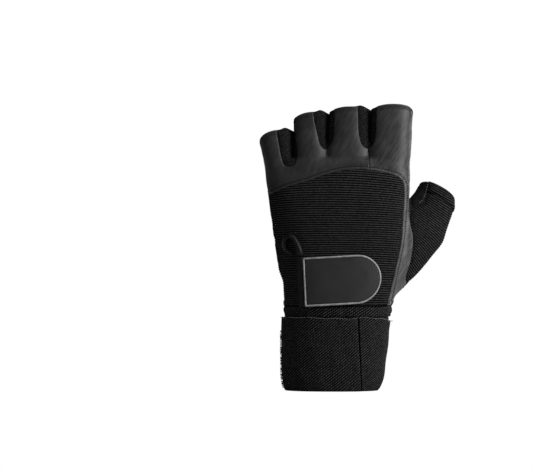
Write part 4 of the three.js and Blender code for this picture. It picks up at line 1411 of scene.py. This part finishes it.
def tabOutline(grow, steps=40):
    left = -0.205 * handWidth - grow
    low = waistZ + 0.006 * palmLength - grow
    high = low + tabHeight + 2 * grow
    radius = (high - low) / 2
    right = left + tabLength + 2 * grow
    points = [(left + tabSlant, low), (left, high)]
    for k in range(steps + 1):
        angle = math.pi * (0.5 - k / steps)
        points.append((right - radius + radius * math.cos(angle),
                       (low + high) / 2 + radius * math.sin(angle)))
    return askew(points)


def palmBackY(x, z, outset):
    # the y of the back surface at a place seen from the front
    halfWidth, halfDepth, middle = palmSize(z, outset)
    share = np.clip(np.abs(x - middle) / halfWidth, 0, 0.999)
    return spineY(z) - halfDepth * (1 - share ** palmPower) ** (1 / palmPower)


def slabOverBack(name, outlinePoints, low, high, step=0.7, dome=0.0, edgeRound=0.4):
    x0, z0 = outlinePoints.min(axis=0) - step
    x1, z1 = outlinePoints.max(axis=0) + step
    xs, zs = np.arange(x0, x1, step), np.arange(z0, z1, step)
    grid = np.stack(np.meshgrid(xs, zs), axis=-1)
    flat = grid.reshape(-1, 2)
    points = np.stack([flat[:, 0], np.zeros(len(flat)), flat[:, 1]], axis=-1)
    faces = openFaces(*grid.shape[:2])
    points, faces = cutMesh(points, faces, outlineDistance(points, outlinePoints))
    for loop in (edgeRound * 0.4, edgeRound):
        points, faces = cutMesh(points, faces, outlineDistance(points, outlinePoints) - loop, keepBoth=True)
    edge = np.maximum(outlineDistance(points, outlinePoints), 0)
    t = np.clip(edge / edgeRound, 0, 1)
    top = high - edgeRound * (1 - np.sqrt(1 - (1 - t) ** 2)) + dome * smoothstep(edge, 0, 8)
    points[:, 1] = palmBackY(points[:, 0], points[:, 2], top)
    obj = newObject(name, points, facesOf(faces))
    return obj


tabBase = anchorThickness + seamGap


def makeTab():
    face = slabOverBack("strapTab", tabOutline(-pipingWidth - 0.15), tabBase, tabBase + 2.1, dome=0.3)
    finishPiece(face, ("strap_tab",), wall=1.7, material="tab")
    patch = slabOverBack("tabHookPatch", tabOutline(-pipingWidth * 2), 0.3, 1.25)
    finishPiece(patch, ("tab_hook_patch",), wall=0.8, material="suede")
    left = -0.205 * handWidth - seamGap
    low = waistZ + 0.006 * palmLength
    foot = askew([(left + tabSlant, low), (left, low + tabHeight),
                  (left - anchorWidth, low + tabHeight), (left - anchorWidth + tabSlant, low)])
    anchor = slabOverBack("tabAnchor", foot, 0.3, 1.4, edgeRound=0.5)
    finishPiece(anchor, ("tab_anchor",), wall=1.0, material="ribbon")


def makePiping():
    # a round cord sewn round the tab's edge
    line = tabOutline(-pipingWidth / 2)
    loop = []
    closed = np.vstack([line, line[:1]])
    for a, b in zip(closed[:-1], closed[1:]):
        count = max(1, int(np.linalg.norm(b - a) / 0.8))
        loop += [a + (b - a) * k / count for k in range(count)]
    loop = np.array(loop)
    along = np.roll(loop, -1, axis=0) - np.roll(loop, 1, axis=0)
    along /= np.linalg.norm(along, axis=1, keepdims=True)
    normal = np.stack([-along[:, 1], along[:, 0]], axis=1)
    radius = pipingWidth / 2
    centre = palmBackY(loop[:, 0], loop[:, 1], tabBase + tabThickness - radius * 1.1)
    rings = []
    for angle in np.linspace(0, 2 * math.pi, 12, endpoint=False):
        out, up = radius * math.cos(angle), radius * 1.25 * math.sin(angle)
        rings.append(np.stack([loop[:, 0] + normal[:, 0] * out, centre - up,
                               loop[:, 1] + normal[:, 1] * out], axis=-1))
    grid = np.array(rings)
    obj = newObject("tabPiping", grid.reshape(-1, 3), closedFaces(*grid.shape[:2]))
    return finishPiece(obj, ("tab_piping",), material="piping")


def makeLoop():
    # a folded ribbon standing at the tab's corner: away from the tab, up, as shares of its size
    shares = np.array([(0, 0), (0.035, 0.25), (0.207, 0.65), (0.468, 0.96), (0.756, 1), (1, 0.71),
                       (0.9, 0.29), (0.477, 0)])
    places = np.stack([-0.205 * handWidth - 1.8 - shares[:, 0] * 12.0,
                       waistZ + 0.006 * palmLength + tabHeight + 1.0 + shares[:, 1] * 13.6], axis=1)
    line = smoothLine((places - (0, waistZ)) / (handWidth, palmLength), 10)
    along = np.gradient(line, axis=0)
    along /= np.linalg.norm(along, axis=1, keepdims=True)
    normal = np.stack([-along[:, 1], along[:, 0]], axis=1)
    rings = []
    for k, (x, z) in enumerate(line):
        share = k / (len(line) - 1)
        stand = 5.4 * math.sin(math.pi * min(1, share * 0.9 + 0.1)) ** 0.5
        breadth = 4.4 - 2.4 * share
        section = []
        for out, up in ((-0.6, 0.0), (-0.5, 0.75), (-0.1, 1.0), (0.45, 0.9), (0.5, 0.72), (0.0, 0.8),
                        (-0.25, 0.6), (-0.3, 0.0)):
            lean = out * breadth + 0.4 * up
            px, pz = x + normal[k, 0] * lean, z + normal[k, 1] * lean
            section.append((px, float(palmBackY(px, pz, 0.35 + up * stand)), pz))
        rings.append(section)
    points, faces = gridMesh(np.array(rings))
    obj = newObject("ribbonLoop", points, faces)
    bevel = obj.modifiers.new("round", "SUBSURF")
    bevel.levels = bevel.render_levels = 1
    return finishPiece(obj, ("pull_loop",), material="ribbon")


makeTab()
makePiping()
makeLoop()
print("tab")


# Stitch rows
stitchLook = {"pitch": 1.75, "length": 1.1, "thick": 0.62, "material": "thread", "slot": "leather"}


def leatherRows():
    rows = []
    hem = curves["hem"]
    top = hem[(hem[:, 0] > -0.50 * handWidth) & (hem[:, 1] > waistZ + 2)]
    rows.append(onSurface(offsetLine(top, 2.5), -1, 0.0))
    strip = span("strip", low=0.1, high=0.68, axis=1)
    rows.append(onSurface(offsetLine(strip, 1.6), -1, 0.0))
    for finger in range(4):
        for below in (1.8, 3.2):
            rows.append(rimLoop(finger, below, 0.0))
    return keptRows(rows)


def keptRows(rows):
    # leaves out what would lie past a rim
    kept = []
    for row in rows:
        if len(row):
            good = (rimDistance(row) > 1.0) & (row[:, 2] > waistZ + 1)
            parts = np.split(row, np.flatnonzero(np.diff(good.astype(int))) + 1)
            kept += [part for part in parts if len(part) > 2 and rimDistance(part[:1])[0] > 1.0
                     and part[0, 2] > waistZ + 1]
    return kept


def palmRows():
    # dark rows on the leather, pale ones on the suede
    dark = [("suede", 1.4), ("heel", 1.5), ("heel", -1.4), ("rib", 1.4)]
    dark = [onSurface(offsetLine(curves[name], away), 1, 0.15) for name, away in dark]
    pale = [onSurface(offsetLine(curves[name], away), 1, 0.5) for name, away in
            (("suede", -1.4), ("pad", 1.5), ("pad", -1.5), ("web", 1.4))]
    for line in quiltLines:
        smooth = smoothLine((line - (0, waistZ)) / (handWidth, palmLength))
        pale += [onSurface(offsetLine(smooth, away), 1, 0.8) for away in (-1.0, 1.0)]
    for k, curve in enumerate(gussetCurves):
        low = curve[curve[:, 1] < gussetCurves[k][:, 1].min() + 14]
        pale.append(onSurface(offsetLine(low, -1.6), 1, 0.35))
    return keptRows(dark), keptRows(pale)


def wrapEdgeRow():
    angles = np.linspace(freeAngle - 0.02, freeAngle - 2 * math.pi + 0.05, 420)
    turned = (freeAngle - angles) / (2 * math.pi)
    return [cuffPoint(wrapTop(angles, turned) - 0.45, angles, -0.05)]


def freeEndRow():
    # a dark cord along the outer turn's free end, as painted shade for the step there
    height = np.linspace(0.8, wrapHeight - 2.0, 60)
    angles = np.array([findFreeAngle(z) for z in height])
    return [cuffPoint(height, angles + 0.03, wrapThickness * 0.9)]


fibreLook = {"count": 240, "seed": 31, "low": 1.5, "high": 43.0, "turn": 0.12, "lean": 0.5, "root": 0.3}


def hookFibres(look):
    # the coarse edge of the hook tape, seen at the side of the wrap
    generator = np.random.default_rng(look["seed"])
    rows, most = [], look["lean"]
    for _ in range(look["count"]):
        z = generator.uniform(look["low"], look["high"])
        angle = math.pi + generator.uniform(-look["turn"], look["turn"])
        start = cuffPoint(np.array([z]), angle, look["root"])[0]
        lean = np.array([-1.0, generator.uniform(-most, most), generator.uniform(-most, most)])
        rows.append(np.array([start, start + lean]))
    return rows


stitchRows("wrapEdgeThread", wrapEdgeRow(), dict(stitchLook, pitch=1.25, length=1.1, thick=0.42,
                                                 material="paleThread", slot="webbing"))
stitchRows("freeEndShade", freeEndRow(), dict(stitchLook, pitch=1.3, length=1.5, thick=1.15,
                                              material="shade", slot="webbing"))
stitchRows("hookFibres", hookFibres(fibreLook), dict(stitchLook, pitch=9.0, length=2.2, thick=0.3,
                                            material="ribbon", slot="webbing"))
thumbSeam = onSurface(offsetLine(span("webBack", low=0.575, high=0.64), -0.6), -1, 0.25)
stitchRows("thumbSeamStitches", keptRows([thumbSeam]), dict(stitchLook, pitch=1.7, length=1.0,
                                                            material="paleThread"))
stitchRows("leatherStitches", leatherRows(), stitchLook)
darkRows, paleRows = palmRows()
stitchRows("palmLeatherStitches", darkRows, dict(stitchLook, pitch=2.2, length=1.4))
stitchRows("suedeStitches", paleRows, dict(stitchLook, pitch=2.3, length=1.0, thick=0.4,
                                           material="dimThread", slot="suede"))
print("stitches")


# Stage, light and camera
view = {"width": 533, "height": 473, "mmPerPixel": 0.72, "axisU": 358.67, "middleV": 236.5,
        "groundV": 390.0, "distance": 2.0, "sensor": 36.0}
studio = {"roomLight": 0.10, "key": 52, "fill": 2.5, "top": 6, "rear": 26, "aim": (0, 0, 0.11),
          "floorFront": -3.0, "bend": 1.2, "bendRadius": 0.8, "wallTop": 3.5, "side": 4.0}


def makeStage():
    # white to the camera, pale paper to everything else
    material, tree, shader = newMaterial("stagePaper", 0.0)
    socketValue(shader, "Base Color", (0.5, 0.5, 0.5, 1))
    socketValue(shader, "Roughness", 0.9)
    glow, either = addNode(tree, "ShaderNodeEmission"), addNode(tree, "ShaderNodeMixShader")
    rays = addNode(tree, "ShaderNodeLightPath").outputs["Is Camera Ray"]
    tree.links.new(rays, either.inputs[0])
    tree.links.new(shader.outputs[0], either.inputs[1])
    tree.links.new(glow.outputs[0], either.inputs[2])
    tree.links.new(either.outputs[0], tree.nodes["Material Output"].inputs["Surface"])
    bend, radius, side = studio["bend"], studio["bendRadius"], studio["side"]
    profile = [(studio["floorFront"], 0.0), (bend, 0.0)]
    for k in range(1, 13):
        angle = math.pi / 2 * k / 12
        profile.append((bend + radius * math.sin(angle), radius - radius * math.cos(angle)))
    profile.append((bend + radius, studio["wallTop"]))
    verts = [(x, y, z) for y, z in profile for x in (-side, side)]
    faces = [(2 * k, 2 * k + 1, 2 * k + 3, 2 * k + 2) for k in range(len(profile) - 1)]
    mesh = bpy.data.meshes.new("stagePaper")
    mesh.from_pydata(verts, [], faces)
    obj = bpy.data.objects.new("stagePaper", mesh)
    bpy.context.scene.collection.objects.link(obj)
    obj.data.materials.append(material)
    obj.data.shade_smooth()


def areaLight(name, where, size, power):
    light = bpy.data.lights.new(name, "AREA")
    light.shape, light.size, light.energy = "DISK", size, power
    obj = bpy.data.objects.new(name, light)
    obj.location = where
    direction = Vector(studio["aim"]) - Vector(where)
    obj.rotation_euler = direction.to_track_quat("-Z", "Y").to_euler()
    bpy.context.scene.collection.objects.link(obj)


def makeCamera():
    camera = bpy.data.cameras.new("photoView")
    camera.sensor_width = view["sensor"]
    span0 = view["width"] * view["mmPerPixel"] * mm
    camera.lens = view["sensor"] * view["distance"] / span0
    sideways = (view["axisU"] - view["width"] / 2) * view["mmPerPixel"] * mm
    obj = bpy.data.objects.new("photoView", camera)
    obj.location = (0, -view["distance"], (view["groundV"] - view["middleV"]) * view["mmPerPixel"] * mm)
    obj.rotation_euler = (math.pi / 2, 0, math.atan2(sideways, view["distance"]))
    camera.clip_start, camera.clip_end = 0.05, 30
    bpy.context.scene.collection.objects.link(obj)
    bpy.context.scene.camera = obj


def makeWorld():
    world = bpy.data.worlds.new("studio")
    world.use_nodes = True
    tree = world.node_tree
    background = tree.nodes["Background"]
    socketValue(background, "Color", (1, 1, 1, 1))
    rays = addNode(tree, "ShaderNodeLightPath").outputs["Is Camera Ray"]
    tree.links.new(remap(tree, rays, 0.0, 1.0, studio["roomLight"], 1.0), background.inputs["Strength"])
    bpy.context.scene.world = world


makeStage()
areaLight("keyLight", (1.55, -0.75, 0.7), 0.7, studio["key"])
areaLight("fillLight", (-1.1, -1.4, 0.5), 1.0, studio["fill"])
areaLight("topLight", (0.3, -0.2, 1.5), 0.9, studio["top"])
areaLight("rearLight", (0.9, 1.4, 0.8), 0.8, studio["rear"])
makeWorld()
bpy.context.scene.view_settings.view_transform = "Standard"
makeCamera()
